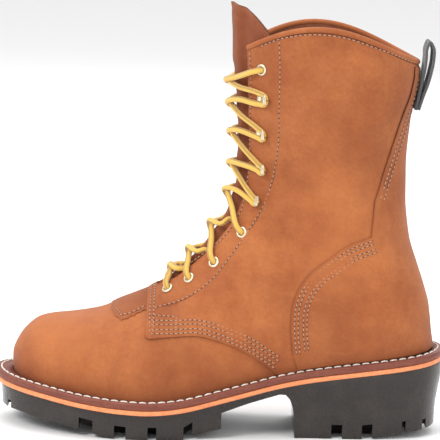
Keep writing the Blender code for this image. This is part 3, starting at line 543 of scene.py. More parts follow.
def webbingFinish():
    finish = newMaterial("webbingFinish", trim["webbing"], 0.85)
    tree = finish.node_tree
    shader = tree.nodes["Principled BSDF"]
    shader.inputs["Sheen Weight"].default_value = 0.3
    place = addNode(tree, "ShaderNodeTexCoord")
    wave = addNode(tree, "ShaderNodeTexWave", wave_type="BANDS", bands_direction="Y")
    wave.inputs["Scale"].default_value = 330.0
    across = addNode(tree, "ShaderNodeTexWave", wave_type="BANDS", bands_direction="Z")
    across.inputs["Scale"].default_value = 260.0
    for texture in (wave, across):
        tree.links.new(place.outputs["Object"], texture.inputs["Vector"])
    weave = added(tree, scaled(tree, wave.outputs["Fac"], 0.6), scaled(tree, across.outputs["Fac"], 0.4))
    tree.links.new(mixed(tree, weave, trim["webbing"], (0.13, 0.125, 0.13)), shader.inputs["Base Color"])
    bump(tree, weave, 0.6, 0.0004)
    return finish


finishes = {
    "tan": nubuck("tanNubuck", leather["base"], leather["pale"], leather["darkToneAndShade"]),
    "lining": nubuck("liningLeather", leather["lining"], (0.24, 0.075, 0.032), (0.07, 0.018, 0.008), False),
    "tongue": nubuck("tongueLeather", (0.190, 0.048, 0.016), (0.29, 0.088, 0.032), leather["darkToneAndShade"], False),
    "insole": nubuck("insoleLeather", (0.30, 0.10, 0.05), (0.40, 0.16, 0.08), leather["darkToneAndShade"], False, 0.1),
    "thread": threadFinish("pinkTanThread", trim["thread"]),
    "weltThread": threadFinish("creamThread", trim["weltThread"]),
    # painted shade of the needle holes
    "hole": threadFinish("paintedHoleShade", trim["hole"]),
    "rubber": rubberFinish(),
    "welt": edgeFinish("weltEdge", leather["welt"], (0.07, 0.018, 0.010), (0.25, 0.075, 0.036), 0.55),
    "midsole": edgeFinish("midsoleEdge", leather["midsole"], (0.42, 0.10, 0.035), (0.90, 0.36, 0.15), 0.5),
    "brass": brassFinish(),
    "lace": laceFinish(),
    "webbing": webbingFinish(),
}
print("finishes made")


# Shared shapes

def meshOf(name, points, faces, finish, smooth=True):
    mesh = bpy.data.meshes.new(name)
    places = np.asarray(points, float) * mm
    places[:, 1] += yShift * mm
    mesh.from_pydata(places.tolist(), [], faces)
    mesh.update()
    thing = bpy.data.objects.new(name, mesh)
    bpy.context.scene.collection.objects.link(thing)
    for each in finish if isinstance(finish, (list, tuple)) else [finish]:
        mesh.materials.append(each)
    if smooth:
        mesh.shade_smooth()
    return thing


def finished(thing, slotName, *nodes):
    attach(thing, "root")
    if nodes:
        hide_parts(*nodes)
    return thing


def outward(thing):
    work = bmesh.new()
    work.from_mesh(thing.data)
    bmesh.ops.remove_doubles(work, verts=work.verts, dist=0.00001)
    bmesh.ops.recalc_face_normals(work, faces=work.faces)
    work.to_mesh(thing.data)
    work.free()
    return thing


def applyAll(thing):
    bpy.context.view_layer.objects.active = thing
    for step in list(thing.modifiers):
        bpy.ops.object.modifier_apply(modifier=step.name)
    return thing


def ringFaces(rings, count, closedEnds=True, joined=False):
    faces = []
    spans = rings if joined else rings - 1
    for i in range(spans):
        here = i * count
        ahead = (i + 1) % rings * count
        for j in range(count):
            k = (j + 1) % count
            faces.append((here + j, here + k, ahead + k, ahead + j))
    if closedEnds and not joined:
        faces.append(tuple(reversed(range(count))))
        faces.append(tuple(range((rings - 1) * count, rings * count)))
    return faces


def tubeRings(path, wide, thick, sides):
    path = np.asarray(path, float)
    runs = np.gradient(path, axis=0)
    runs /= np.linalg.norm(runs, axis=1)[:, None]
    rings = []
    first = Vector(runs[0]).orthogonal().normalized()
    for point, run in zip(path, runs):
        run = Vector(run)
        first = (first - run * first.dot(run)).normalized()
        second = run.cross(first)
        for k in range(sides):
            a = 2.0 * math.pi * k / sides
            offset = first * math.cos(a) * wide + second * math.sin(a) * thick
            rings.append(tuple(Vector(point) + offset))
    return rings


def smoothPath(points, count):
    points = np.array([tuple(p) for p in points], float)
    run = np.concatenate([[0.0], np.cumsum(np.linalg.norm(np.diff(points, axis=0), axis=1))])
    at = np.linspace(0.0, run[-1], count)
    return np.stack([through(run, points[:, k], at) for k in range(points.shape[1])], axis=1)


def evenPoints(line, step):
    line = np.asarray(line, float)
    run = np.concatenate([[0.0], np.cumsum(np.linalg.norm(np.diff(line, axis=0), axis=1))])
    count = max(int(run[-1] / step), 1)
    at = (np.arange(count) + 0.5) * run[-1] / count
    return np.stack([np.interp(at, run, line[:, k]) for k in range(line.shape[1])], axis=1)


# Places on the upper by their side view

lookup = {"rows": np.linspace(0.0, 29.0, 436), "shares": np.linspace(0.0, 1.0, 151)}
sideView = []
for s in lookup["rows"]:
    x, z, half, middle = section(s, lookup["shares"])
    sideView.append(np.stack([x, z], axis=1))
sideView = np.array(sideView)
finder = kdtree.KDTree(sideView.shape[0] * sideView.shape[1])
for i, (x, z) in enumerate(sideView.reshape(-1, 2)):
    finder.insert((x, z, 0.0), i)
finder.balance()


def shareOf(x, z):
    _, index, _ = finder.find((x, z, 0.0))
    i, j = divmod(index, len(lookup["shares"]))
    s, t = lookup["rows"][i], lookup["shares"][j]
    i1 = min(i + 1, len(lookup["rows"]) - 1)
    i0 = i1 - 1
    j1 = min(j + 1, len(lookup["shares"]) - 1)
    j0 = j1 - 1
    alongS = (sideView[i1, j] - sideView[i0, j]) / (lookup["rows"][1] - lookup["rows"][0])
    alongT = (sideView[i, j1] - sideView[i, j0]) / (lookup["shares"][1] - lookup["shares"][0])
    miss = np.array([x, z]) - sideView[i, j]
    area = alongS[0] * alongT[1] - alongS[1] * alongT[0]
    if abs(area) > 1e-9:
        ds = (miss[0] * alongT[1] - miss[1] * alongT[0]) / area
        dt = (alongS[0] * miss[1] - alongS[1] * miss[0]) / area
        s += float(np.clip(ds, -0.07, 0.07))
        t += float(np.clip(dt, -0.007, 0.007))
    return float(np.clip(s, 0.0, 29.0)), float(np.clip(t, 0.0, 1.0))


def onUpper(x, z, side, lift):
    s, t = shareOf(x, z)
    t = float(np.clip(t, 0.004, 0.996))
    here = Vector(surface(s, t, side))
    alongS = Vector(surface(min(s + 0.03, 29.0), t, side)) - Vector(surface(max(s - 0.03, 0.0), t, side))
    alongT = Vector(surface(s, t + 0.004, side)) - Vector(surface(s, t - 0.004, side))
    normal = alongS.cross(alongT).normalized() * -side
    if normal.y * side < 0.0:
        normal = -normal
    return here + normal * lift, normal


# Upper

upperForm = {
    "rows": 250, "columns": 90, "firstRow": 0.0, "lastRow": collarRow, "margin": 0.0,
    "inside": vampInside, "outside": vampOutside,
    "creases": (
        # side view start, end, depth, half width
        ((18.0, 150.0), (52.0, 128.0), 1.5, 6.0),
        ((30.0, 180.0), (70.0, 160.0), 1.2, 7.0),
        ((46.0, 116.0), (86.0, 140.0), 1.1, 7.0),
        ((92.0, 192.0), (118.0, 176.0), 1.4, 6.0),
        ((90.0, 166.0), (113.0, 158.0), 1.0, 6.0),
        ((-38.0, 84.0), (-18.0, 100.0), 0.8, 4.5),
        ((-62.0, 64.0), (-52.0, 84.0), 0.8, 5.0),
        ((2.0, 92.0), (26.0, 74.0), 0.9, 6.0),
        ((56.0, 244.0), (102.0, 225.0), 1.0, 10.0),
    ),
}
quarterForm = {
    "rows": 210, "columns": 84, "firstRow": 9.5, "lastRow": collarRow - 0.06, "margin": 1.0,
    "inside": -1.3, "outside": quarterOutside, "clearance": 0.6,
}
counterForm = {
    "rows": 150, "columns": 84, "firstRow": 14.0, "lastRow": collarRow - 0.14, "margin": 3.0,
    "inside": -0.5, "outside": counterOutside, "clearance": 1.8,
}
patchForm = {
    "rows": 90, "columns": 84, "firstRow": 4.5, "lastRow": 12.0, "margin": 0.3,
    "inside": -1.6, "outside": patchOutside, "scallop": 0.8,
}


def creaseAt(x, z):
    depth = np.zeros_like(x)
    for (x0, z0), (x1, z1), deep, wide in upperForm["creases"]:
        dx, dz = x1 - x0, z1 - z0
        length = math.hypot(dx, dz)
        along = ((x - x0) * dx + (z - z0) * dz) / length ** 2
        off = ((x - x0) * dz - (z - z0) * dx) / length
        bow = off + 3.0 * np.sin(math.pi * np.clip(along, 0.0, 1.0))
        fade = np.clip(1.0 - np.maximum(np.abs(along - 0.5) - 0.25, 0.0) * 3.0, 0.0, 1.0)
        fade = fade * fade * (3.0 - 2.0 * fade)
        trough = np.exp(-(bow / wide) ** 2) - 0.6 * np.exp(-((bow - 1.9 * wide) / wide) ** 2)
        depth -= deep * trough * fade
    return depth


def lineDistance(line, x, z):
    best = np.full(x.shape, 1e9)
    for (xa, za), (xb, zb) in zip(line[:-1], line[1:]):
        dx, dz = xb - xa, zb - za
        u = np.clip(((x - xa) * dx + (z - za) * dz) / (dx * dx + dz * dz), 0.0, 1.0)
        best = np.minimum(best, np.hypot(x - xa - u * dx, z - za - u * dz))
    return best


leatherTones = {
    # aboveWelt is painted shade where the upper meets the welt; seam darkens along the panel edges
    "aboveWelt": 0.50, "seam": 0.35, "raisedEdge": 0.30, "patch": 0.42,
    # side view x and z, half length and half height, strength
    # the spot on the back of the shaft (x 120) is painted shade; the other two are darker spots
    "darkSpotsAndShade": (
        (-30.0, 52.0, 26.0, 26.0, 0.22), (-44.0, 90.0, 12.0, 20.0, 0.22), (120.0, 215.0, 20.0, 60.0, 0.16),
    ),
    "rubs": ((-112.0, 68.0, 34.0, 20.0, 0.45), (80.0, 150.0, 30.0, 60.0, 0.25)),
}


def spots(table, x, z):
    return sum(strength * np.exp(-((x - midX) / long) ** 2 - ((z - midZ) / high) ** 2)
               for midX, midZ, long, high, strength in table)


def paintTone(thing, extra=0.0):
    mesh = thing.data
    places = np.zeros(len(mesh.vertices) * 3, np.float32)
    mesh.vertices.foreach_get("co", places)
    places = places.reshape(-1, 3) / mm
    x, z = places[:, 0].astype(float), places[:, 2].astype(float)
    low = np.exp(-np.maximum(z - soleTop(x) - 4.0, 0.0) / 9.0)
    front = lineDistance(quarterFront[1:], x, z)
    back = lineDistance(counterFront[1:], x, z)
    # painted shade low above the welt and on the back of the shaft, added to darker spots, seams and patch
    shadeAndDarkening = leatherTones["aboveWelt"] * low + extra + spots(leatherTones["darkSpotsAndShade"], x, z)
    shadeAndDarkening += leatherTones["seam"] * (np.exp(-front / 1.6) + np.exp(-back / 1.2))
    rub = spots(leatherTones["rubs"], x, z) + leatherTones["raisedEdge"] * np.exp(-np.abs(back - 2.2) / 0.9)
    for name, values in (("shadeAndDarkening", np.clip(shadeAndDarkening, 0.0, 0.85)), ("rub", np.clip(rub, 0.0, 0.7))):
        layer = mesh.attributes.new(name, "FLOAT", "POINT")
        layer.data.foreach_set("value", values.astype(np.float32))


def skinGrid(form):
    lines = np.linspace(form["firstRow"], form["lastRow"], form["rows"])
    grid = {-1: [], 1: []}
    even = np.linspace(0.0, 1.0, form["columns"])
    toRidge = 1.0 - (1.0 - even) ** 1.35
    toBack = even ** 1.6
    for s in lines:
        last = edgeShare(s, form["margin"]) if s >= throatRow else 1.0
        shares = last * (toRidge + (toBack - toRidge) * np.interp(s, (8.0, heelRow), (0.0, 1.0)))
        for side in grid:
            grid[side].append(surface(s, shares, side))
    return {side: np.array(rowsOf) for side, rowsOf in grid.items()}


def doubleSkin(name, form, finish):
    grid = skinGrid(form)
    outer, inner = grid[-1], grid[1]
    rows, columns = outer.shape[:2]
    both = np.concatenate([outer, inner[:, ::-1]], axis=1)
    wide = 2 * columns
    points = both.reshape(-1, 3)
    index = np.arange(rows * wide).reshape(rows, wide)
    quads = np.stack([index[:-1, :-1], index[1:, :-1], index[1:, 1:], index[:-1, 1:]], axis=-1)
    # no quad between the two sides: they meet at the ridge or leave the throat open
    quads = np.delete(quads, columns - 1, axis=1).reshape(-1, 4)
    work = bmesh.new()
    made = [work.verts.new(p) for p in points]
    for quad in quads:
        work.faces.new([made[c] for c in quad])
    bmesh.ops.remove_doubles(work, verts=work.verts, dist=0.02)
    bmesh.ops.recalc_face_normals(work, faces=work.faces)
    work.normal_update()
    outermost = min(work.faces, key=lambda f: f.calc_center_median().y)
    if outermost.normal.y > 0.0:
        bmesh.ops.reverse_faces(work, faces=work.faces)
        work.normal_update()
    verts = list(work.verts)
    for i, vert in enumerate(verts):
        vert.index = i
    places = np.array([tuple(v.co) for v in verts])
    normals = np.array([tuple(v.normal) for v in verts])
    foot = np.abs(places[:, 2] - (soleTop(places[:, 0]) + gap)) < 0.4
    normals[foot, 2] = 0.0
    normals[foot] /= np.linalg.norm(normals[foot], axis=1)[:, None]
    crease = creaseAt(places[:, 0], places[:, 2])
    top = places + normals * (form["outside"] + crease)[:, None]
    bottom = places + normals * (form["inside"] + crease)[:, None]
    faces = [tuple(v.index for v in f.verts) for f in work.faces]
    border = [e for e in work.edges if e.is_boundary]
    count = len(verts)
    walls = []
    for edge in border:
        loop = edge.link_loops[0]
        a, b = loop.vert.index, loop.link_loop_next.vert.index
        walls.append((b, a, a + count, b + count))
    work.free()
    under = [tuple(c + count for c in reversed(face)) for face in faces]
    thing = meshOf(name, np.concatenate([top, bottom]), faces + under + walls, finish)
    if isinstance(finish, (list, tuple)):
        slots = np.zeros(len(thing.data.polygons), np.int32)
        slots[len(faces):len(faces) + len(under)] = 1
        thing.data.polygons.foreach_set("material_index", slots)
    return thing


def sidePrism(name, outline):
    beyond = 90.0   # past both sides of the boot
    points = [(x, y, z) for y in (-beyond, beyond) for x, z in outline]
    return outward(meshOf(name, points, ringFaces(2, len(outline)), [], False))


def cutWith(thing, other, operation="INTERSECT"):
    step = thing.modifiers.new("cut", "BOOLEAN")
    step.operation = operation
    step.solver = "MANIFOLD"
    step.object = other
    applyAll(thing)
    bpy.data.objects.remove(other, do_unlink=True)
    return thing


def aboveWelt(front, clearance):
    start = front[-1][0] + 4.0
    pastHeel, pastCollar = 170.0, 330.0
    line = [(x, float(soleTop(x)) + weltHeight + clearance) for x in np.linspace(start, pastHeel, 30)]
    return list(front) + line + [(pastHeel, pastCollar)]


def rounded(points, count):
    return [tuple(p) for p in smoothPath(points, count)]


quarterEdge = [quarterFront[0]] + list(quarterFront[1:2]) + rounded(quarterFront[2:], 40)
counterEdge = [counterFront[0]] + rounded(counterFront[1:7], 20) + rounded(counterFront[7:], 36)
patchEdge = list(tonguePatch[:1]) + [
    (x, z + patchForm["scallop"] * (abs(math.sin(n * 0.9)) - 0.5))
    for n, (x, z) in enumerate(rounded(tonguePatch[1:-1], 26))
] + list(tonguePatch[-1:])

upper = doubleSkin("upperWall", upperForm, [finishes["tan"], finishes["lining"]])
paintTone(upper)
finished(upper, "tan_leather", "upper")
print("upper wall", len(upper.data.polygons))


def makePanel(name, form, outline, extra=0.0):
    panel = cutWith(doubleSkin(name, form, finishes["tan"]), sidePrism("outline", outline))
    panel.data.shade_smooth()
    panel.data.set_sharp_from_angle(angle=math.radians(50.0))
    paintTone(panel, extra)
    return finished(panel, "tan_leather")


makePanel("quarterPanels", quarterForm, aboveWelt(quarterEdge, quarterForm["clearance"]))
makePanel("counterPanel", counterForm, aboveWelt(counterEdge, counterForm["clearance"]))
makePanel("tonguePatch", patchForm, patchEdge, leatherTones["patch"])
print("panels cut")


# Stitches

# hole: radius of each disc of painted shade at a needle hole
stitching = {"length": 2.6, "pitch": 3.3, "radius": 0.42, "hole": 0.34}
stitchRing = [(-0.5, 0.35), (-0.36, 0.95), (0.0, 1.0), (0.36, 0.95), (0.5, 0.35)]


def stitchMesh(name, placed, length, radius, finish):
    points, faces = [], []
    sides = 6
    for centre, run, normal in placed:
        across = run.cross(normal).normalized()
        start = len(points)
        for along, size in stitchRing:
            dip = -radius * 1.3 * (abs(along) * 2.0) ** 3
            for k in range(sides):
                a = 2.0 * math.pi * k / sides
                offset = across * math.cos(a) * radius * size + normal * (math.sin(a) * radius * size + dip)
                points.append(tuple(centre + run * along * length + offset))
        for face in ringFaces(len(stitchRing), sides):
            faces.append(tuple(start + c for c in face))
    return outward(meshOf(name, points, faces, finish))


# Dark discs at both ends of each stitch: painted shade inside the needle holes
def holeShadeMesh(name, placed, length, radius, finish):
    points, faces = [], []
    sides = 6
    for centre, run, normal in placed:
        across = run.cross(normal).normalized()
        for end in (-0.56, 0.56):
            middle = centre + run * end * length
            start = len(points)
            for lift, size in ((-0.25, 1.0), (0.06, 1.0), (0.10, 0.6)):
                for k in range(sides):
                    a = 2.0 * math.pi * k / sides
                    offset = (across * math.cos(a) + run * math.sin(a)) * radius * size
                    points.append(tuple(middle + offset + normal * lift))
            for face in ringFaces(3, sides):
                faces.append(tuple(start + c for c in face))
    return outward(meshOf(name, points, faces, finish))


def alongSide(line, side, lift, pitch):
    fine = evenPoints(line, pitch / 4.0)
    middle = [onUpper(x, z, side, lift) for x, z in fine]
    places = np.array([tuple(p) for p, _ in middle])
    run = np.concatenate([[0.0], np.cumsum(np.linalg.norm(np.diff(places, axis=0), axis=1))])
    placed = []
    for at in np.arange(pitch / 2.0, run[-1], pitch):
        point = Vector([np.interp(at, run, places[:, k]) for k in range(3)])
        ahead = Vector([np.interp(at + 0.8, run, places[:, k]) for k in range(3)])
        behind = Vector([np.interp(at - 0.8, run, places[:, k]) for k in range(3)])
        n = int(np.argmin(np.abs(run - at)))
        placed.append((point, (ahead - behind).normalized(), middle[n][1]))
    return placed


def offsetLine(line, distance):
    line = np.asarray(line, float)
    runs = np.gradient(line, axis=0)
    runs /= np.linalg.norm(runs, axis=1)[:, None]
    return line + np.stack([-runs[:, 1], runs[:, 0]], axis=1) * distance


eyestayLine = smoothPath([(34.7, 274.4), (35.8, 261.0), (36.2, 232.0), (36.2, 199.9), (28.5, 162.1),
                          (17.0, 140.5), (5.0, 122.5), (-5.0, 109.1), (-25.2, 93.9), (-46.7, 86.3)], 60)
facingLine = smoothPath([(15.6, 265.6), (17.0, 240.0), (17.2, 215.0), (16.4, 176.1), (12.2, 153.8),
                         (6.3, 142.5), (-2.4, 131.8), (-12.6, 123.1), (-24.8, 113.6), (-39.5, 105.0)], 60)
collarLine = smoothPath([(22.0, 268.8), (31.9, 273.7), (41.7, 276.8), (51.7, 278.6), (64.3, 279.1),
                         (78.4, 277.5), (103.2, 269.8), (116.7, 264.9), (126.0, 260.6)], 60)
quarterLow = np.array(rounded([(-48.2, 69.0)] + list(quarterFront[3:]), 60))
quarterFrontLine = np.array([(-48.4, 106.0), (-48.4, 88.0), (-48.2, 72.5)])
counterLow = np.array(rounded(counterFront[7:], 60))
backStay = np.array(rounded(counterFront[1:7], 40))
boxLine = np.array([(-47.0, 82.6), (-30.0, 82.4), (-30.0, 72.6)])
patchLow = np.array([(-74.4, 82.6), (-69.0, 78.6), (-62.5, 80.0), (-57.0, 82.4), (-50.6, 85.6)])

stitchRows = (
    # line, distances of its rows from it, the panel's height
    (eyestayLine, (0.0,), quarterOutside),
    (facingLine, (0.0,), quarterOutside),
    (collarLine, (0.0,), quarterOutside),
    (quarterFrontLine, (0.0, 2.6), quarterOutside),
    (quarterLow, (2.2, 4.7, 7.8, 10.3), quarterOutside),
    (boxLine, (0.0,), quarterOutside),
    (patchLow, (2.4,), patchOutside),
    (counterLow, (2.4, 4.8, 8.4, 10.8), counterOutside),
    (backStay, (2.4, 5.0), counterOutside),
)
stitches = []
for line, distances, outside in stitchRows:
    lift = outside + stitching["radius"] * 0.55
    for distance in distances:
        for side in (-1, 1):
            stitches += alongSide(offsetLine(line, distance), side, lift, stitching["pitch"])
thread = stitchMesh("panelStitches", stitches, stitching["length"], stitching["radius"], finishes["thread"])
finished(thread, "tan_leather")
# dark discs of painted shade at the needle holes
holes = holeShadeMesh("holeShadeDiscs", stitches, stitching["length"], stitching["hole"], finishes["hole"])
finished(holes, "tan_leather")
print("stitches", len(stitches))


# Tongue

tongueForm = {
    "rows": 90, "columns": 61, "cornerDrop": 1.8, "ripple": 0.35, "edgeThickness": 0.35,
    # half width around the leg by row
    "reach": ((tongueFoot, 14.0, 20.0, 29.0), (20.0, 30.0, 36.0, 41.0)),
}


def makeTongue():
    outside, inside = [], []
    spread = np.linspace(-1.0, 1.0, tongueForm["columns"])
    for v in np.linspace(0.0, 1.0, tongueForm["rows"]):
        for k in spread:
            side = -1 if k < 0 else 1
            top = tongueTop - tongueForm["cornerDrop"] * abs(k) ** 1.6
            s = tongueFoot + (top - tongueFoot) * v
            distance = abs(k) * np.interp(s, *tongueForm["reach"])
            throat = fanRow(s).gap
            proud = min(max((throat - 2.0 - distance) / 6.0, 0.0), 1.0)
            proud = proud * proud * (3.0 - 2.0 * proud)
            lift = tongueUnder + (tongueProud - tongueUnder) * proud
            lift += tongueForm["ripple"] * math.sin(s * 3.1) * proud
            edge = min(1.0, (1.0 - abs(k)) * 14.0, (1.0 - v) * 30.0)
            thin = tongueForm["edgeThickness"]
            thick = tongueThickness * (thin + (1.0 - thin) * math.sqrt(max(edge, 0.0)))
            point, normal, _ = seat(s, distance, side, 0.0)
            middle = lift - tongueThickness / 2.0
            outside.append(tuple(point + normal * (middle + thick / 2.0)))
            inside.append(tuple(point + normal * (middle - thick / 2.0)))
    wide, rows = tongueForm["columns"], tongueForm["rows"]
    count = wide * rows
    faces = []
    for i in range(rows - 1):
        for j in range(wide - 1):
            a = i * wide + j
            faces.append((a, a + 1, a + wide + 1, a + wide))
            faces.append((a + wide + count, a + wide + 1 + count, a + 1 + count, a + count))
    rim = list(range(wide)) + [i * wide + wide - 1 for i in range(1, rows)]
    rim += [(rows - 1) * wide + j for j in range(wide - 2, -1, -1)]
    rim += [i * wide for i in range(rows - 2, 0, -1)]
    for a, b in zip(rim, rim[1:] + rim[:1]):
        faces.append((b, a, a + count, b + count))
    tongue = outward(meshOf("tongueLeaf", outside + inside, faces, finishes["tongue"]))
    return finished(tongue, "brown_leather", "tongue")


makeTongue()
print("tongue made")


# Collar binding

bindingForm = {"stops": 41, "points": 260, "sides": 20, "sink": 0.9}


def makeBinding():
    end = edgeShare(collarRow) * 0.995
    stops = [(-1, t) for t in np.linspace(end, 0.0, bindingForm["stops"])]
    stops += [(1, t) for t in np.linspace(0.0, end, bindingForm["stops"])[1:]]
    middle = (vampInside + quarterOutside) / 2.0
    path = []
    for side, t in stops:
        edge = Vector(surface(collarRow, t, side))
        below = Vector(surface(collarRow - 0.3, t, side))
        beside = Vector(surface(collarRow, t + (0.01 if t < 0.5 else -0.01), side))
        up = (edge - below).normalized()
        run = (beside - edge).normalized()
        up = (up - run * up.dot(run)).normalized()
        away = run.cross(up)
        if away.dot(edge - Vector((65.0, 0.0, edge.z))) < 0.0:
            away = -away
        path.append(edge + away * middle + up * (bindingRadius - bindingForm["sink"]))
    even = smoothPath(path, bindingForm["points"])
    sides = bindingForm["sides"]
    rings = tubeRings(even, bindingRadius, bindingRadius, sides)
    binding = outward(meshOf("collarRoll", rings, ringFaces(len(even), sides), finishes["tan"]))
    paintTone(binding)
    return finished(binding, "tan_leather", "collar_binding")


makeBinding()
print("binding made")


# Eyelets and hooks, shaped once lying flat and then copied to their places

eyeletForm = {
    "sides": 32, "wall": 0.3,
    # radius and height of each ring, up through the hole and over the flange
    "rings": ((2.15, -3.1), (2.15, 0.4), (2.55, 1.0), (3.2, 1.15), (3.9, 0.75), (4.15, 0.2)),
}
hookForm = {
    "width": 6.6, "base": (-4.4, 1.6), "rise": 3.9, "lip": 4.6, "thick": 0.85,
    "rivetRadius": 2.3, "rivetHeight": 1.5, "rivetPlace": -2.2, "lift": 0.05,
}


def flatEyelet():
    rings = eyeletForm["rings"]
    radius, height = rings[0]
    sides = eyeletForm["sides"]
    bpy.ops.mesh.primitive_circle_add(vertices=sides, radius=radius, location=(0.0, 0.0, height))
    thing = bpy.context.object
    bpy.ops.object.transform_apply(location=True)
    bpy.ops.object.mode_set(mode="EDIT")
    bpy.ops.mesh.select_all(action="SELECT")
    for (r0, z0), (r1, z1) in zip(rings, rings[1:]):
        bpy.ops.mesh.extrude_region_move(TRANSFORM_OT_translate={"value": (0.0, 0.0, z1 - z0)})
        bpy.ops.transform.resize(value=(r1 / r0, r1 / r0, 1.0), center_override=(0.0, 0.0, z1))
    bpy.ops.mesh.select_all(action="SELECT")
    bpy.ops.mesh.normals_make_consistent(inside=False)
    bpy.ops.object.mode_set(mode="OBJECT")
    wall = thing.modifiers.new("wall", "SOLIDIFY")
    wall.thickness = eyeletForm["wall"]
    wall.offset = -1.0
    smooth = thing.modifiers.new("smooth", "SUBSURF")
    smooth.levels = 1
    smooth.render_levels = 1
    return applyAll(thing)


def hookShape():
    thick = hookForm["thick"]
    front, back = hookForm["base"]
    rise, lip = hookForm["rise"], hookForm["lip"]
    # backward and up from the foot's front to the lip's tip, with the share of the full width
    line = [
        (front, thick / 2.0, 0.62), (back - 1.0, thick / 2.0, 0.86), (back - 0.1, thick / 2.0 + 0.5, 0.92),
        (back + 0.1, 1.8, 0.80), (back + 0.2, rise - 1.0, 0.84), (back + 0.9, rise - 0.1, 1.0),
        (back + 2.0, rise + 0.1, 1.14), (lip, rise + 0.9, 1.16), (lip + 0.9, rise + 1.9, 0.80),
    ]
    return smoothPath(line, 34)


def hookMesh():
    fine = hookShape()
    runs = np.gradient(fine[:, :2], axis=0)
    runs /= np.linalg.norm(runs, axis=1)[:, None]
    points = []
    half, thick = hookForm["width"] / 2.0, hookForm["thick"] / 2.0
    upper = ((-1.0, 0.4), (-0.93, 1.0), (0.93, 1.0), (1.0, 0.4))
    corner = upper + tuple((-y, -n) for y, n in upper)
    for (a, h, w), (ra, rh) in zip(fine, runs):
        for y, n in corner:
            points.append((a - rh * n * thick, y * half * w, h + ra * n * thick))
    return points, ringFaces(len(fine), len(corner))


def rivetMesh():
    radius, height, centre = (hookForm[name] for name in ("rivetRadius", "rivetHeight", "rivetPlace"))
    points = []
    rings, sides = 6, 20
    for i in range(rings):
        a = math.pi / 2.0 * i / rings
        for k in range(sides):
            b = 2.0 * math.pi * k / sides
            points.append((centre + radius * math.cos(a) * math.cos(b), radius * math.cos(a) * math.sin(b),
                           hookForm["thick"] + height * math.sin(a)))
    return points, ringFaces(rings, sides)


def placeShape(points, centre, back, across, normal):
    return [tuple(centre + back * x + across * y + normal * z) for x, y, z in points]


eyelet = flatEyelet()
eyeletPoints = [tuple(v.co) for v in eyelet.data.vertices]
eyeletFaces = [tuple(f.vertices) for f in eyelet.data.polygons]
bpy.data.objects.remove(eyelet, do_unlink=True)
hookPoints, hookFaces = hookMesh()
rivetPoints, rivetFaces = rivetMesh()

counts = {"eyelet": 0, "hook": 0}
for row in laceRows:
    counts[row.fitting] += 1
    for side, word in ((-1, "outer"), (1, "inner")):
        centre, normal, up = seat(row.row, row.distance, side, 0.0)
        back = (up.cross(normal) * side).normalized()
        if back.x < 0.0:
            back = -back
        across = normal.cross(back)
        node = f"{row.fitting}_{word}_{counts[row.fitting]}"
        name = f"{row.fitting}{word.capitalize()}{counts[row.fitting]}"
        if row.fitting == "eyelet":
            points, faces = placeShape(eyeletPoints, centre, back, across, normal), eyeletFaces
        else:
            seatOf = centre + normal * hookForm["lift"]
            points = placeShape(hookPoints, seatOf, back, across, normal)
            faces = list(hookFaces)
            first = len(points)
            points += placeShape(rivetPoints, seatOf, back, across, normal)
            faces += [tuple(first + c for c in face) for face in rivetFaces]
        fitting = outward(meshOf(name, points, faces, finishes["brass"]))
        fitting.data.set_sharp_from_angle(angle=math.radians(50.0))
        finished(fitting, "pale_brass", node)
print("eyelets and hooks placed")


# Laces

laceForm = {
    "wide": 2.05, "thick": 1.7, "sides": 12, "points": 56,
    # heights over the leather: across the throat, the two strands where they cross, at a hook, in a hole
    "over": 2.3, "crossing": (0.9, 3.6), "hooked": 1.7, "hole": -2.6, "tucked": -5.0,
}


def laceRoute(n, side):
    low, high = laceRows[n], laceRows[n + 1]
    r0, r1, d0, d1 = low.row, high.row, low.distance, high.distance
    over, hooked, hole, tucked = (laceForm[name] for name in ("over", "hooked", "hole", "tucked"))
    if low.fitting == "eyelet":
        start = [(r0, d0 + 0.4, side, hole), (r0, d0, side, 0.6), (r0 + 0.02, d0 - 1.8, side, over)]
    else:
        start = [(r0, d0 + 3.4, side, hooked), (r0 + 0.17, d0 + 2.4, side, hooked + 0.1),
                 (r0 + 0.26, d0 - 2.5, side, hooked + 0.3)]
    middle = (r0 + r1) / 2.0
    lift = over + laceForm["crossing"][0 if side < 0 else 1]
    mid = [((r0 + middle) / 2.0, d0 * 0.45, side, over + 0.5), (middle, 0.01, side, lift),
           ((r1 + middle) / 2.0, d1 * 0.42, -side, over + 0.5)]
    if high.fitting == "hook":
        end = [(r1 - 0.26, d1 - 2.5, -side, hooked + 0.3), (r1 - 0.17, d1 + 2.4, -side, hooked + 0.1),
               (r1, d1 + 3.4, -side, hooked)]
    elif n + 2 < len(laceRows):
        throat = fanRow(r1).gap
        end = [(r1 - 0.10, throat - 1.0, -side, 0.2), (r1 - 0.03, throat + 3.0, -side, tucked),
               (r1, d1 - 0.5, -side, tucked - 0.2)]
    else:
        end = [(r1 - 0.02, d1 - 2.6, -side, over), (r1, d1 - 0.2, -side, 1.0), (r1, d1 + 0.4, -side, hole)]
    return [seat(s, d, which, height)[0] for s, d, which, height in start + mid + end]


laceRuns = []


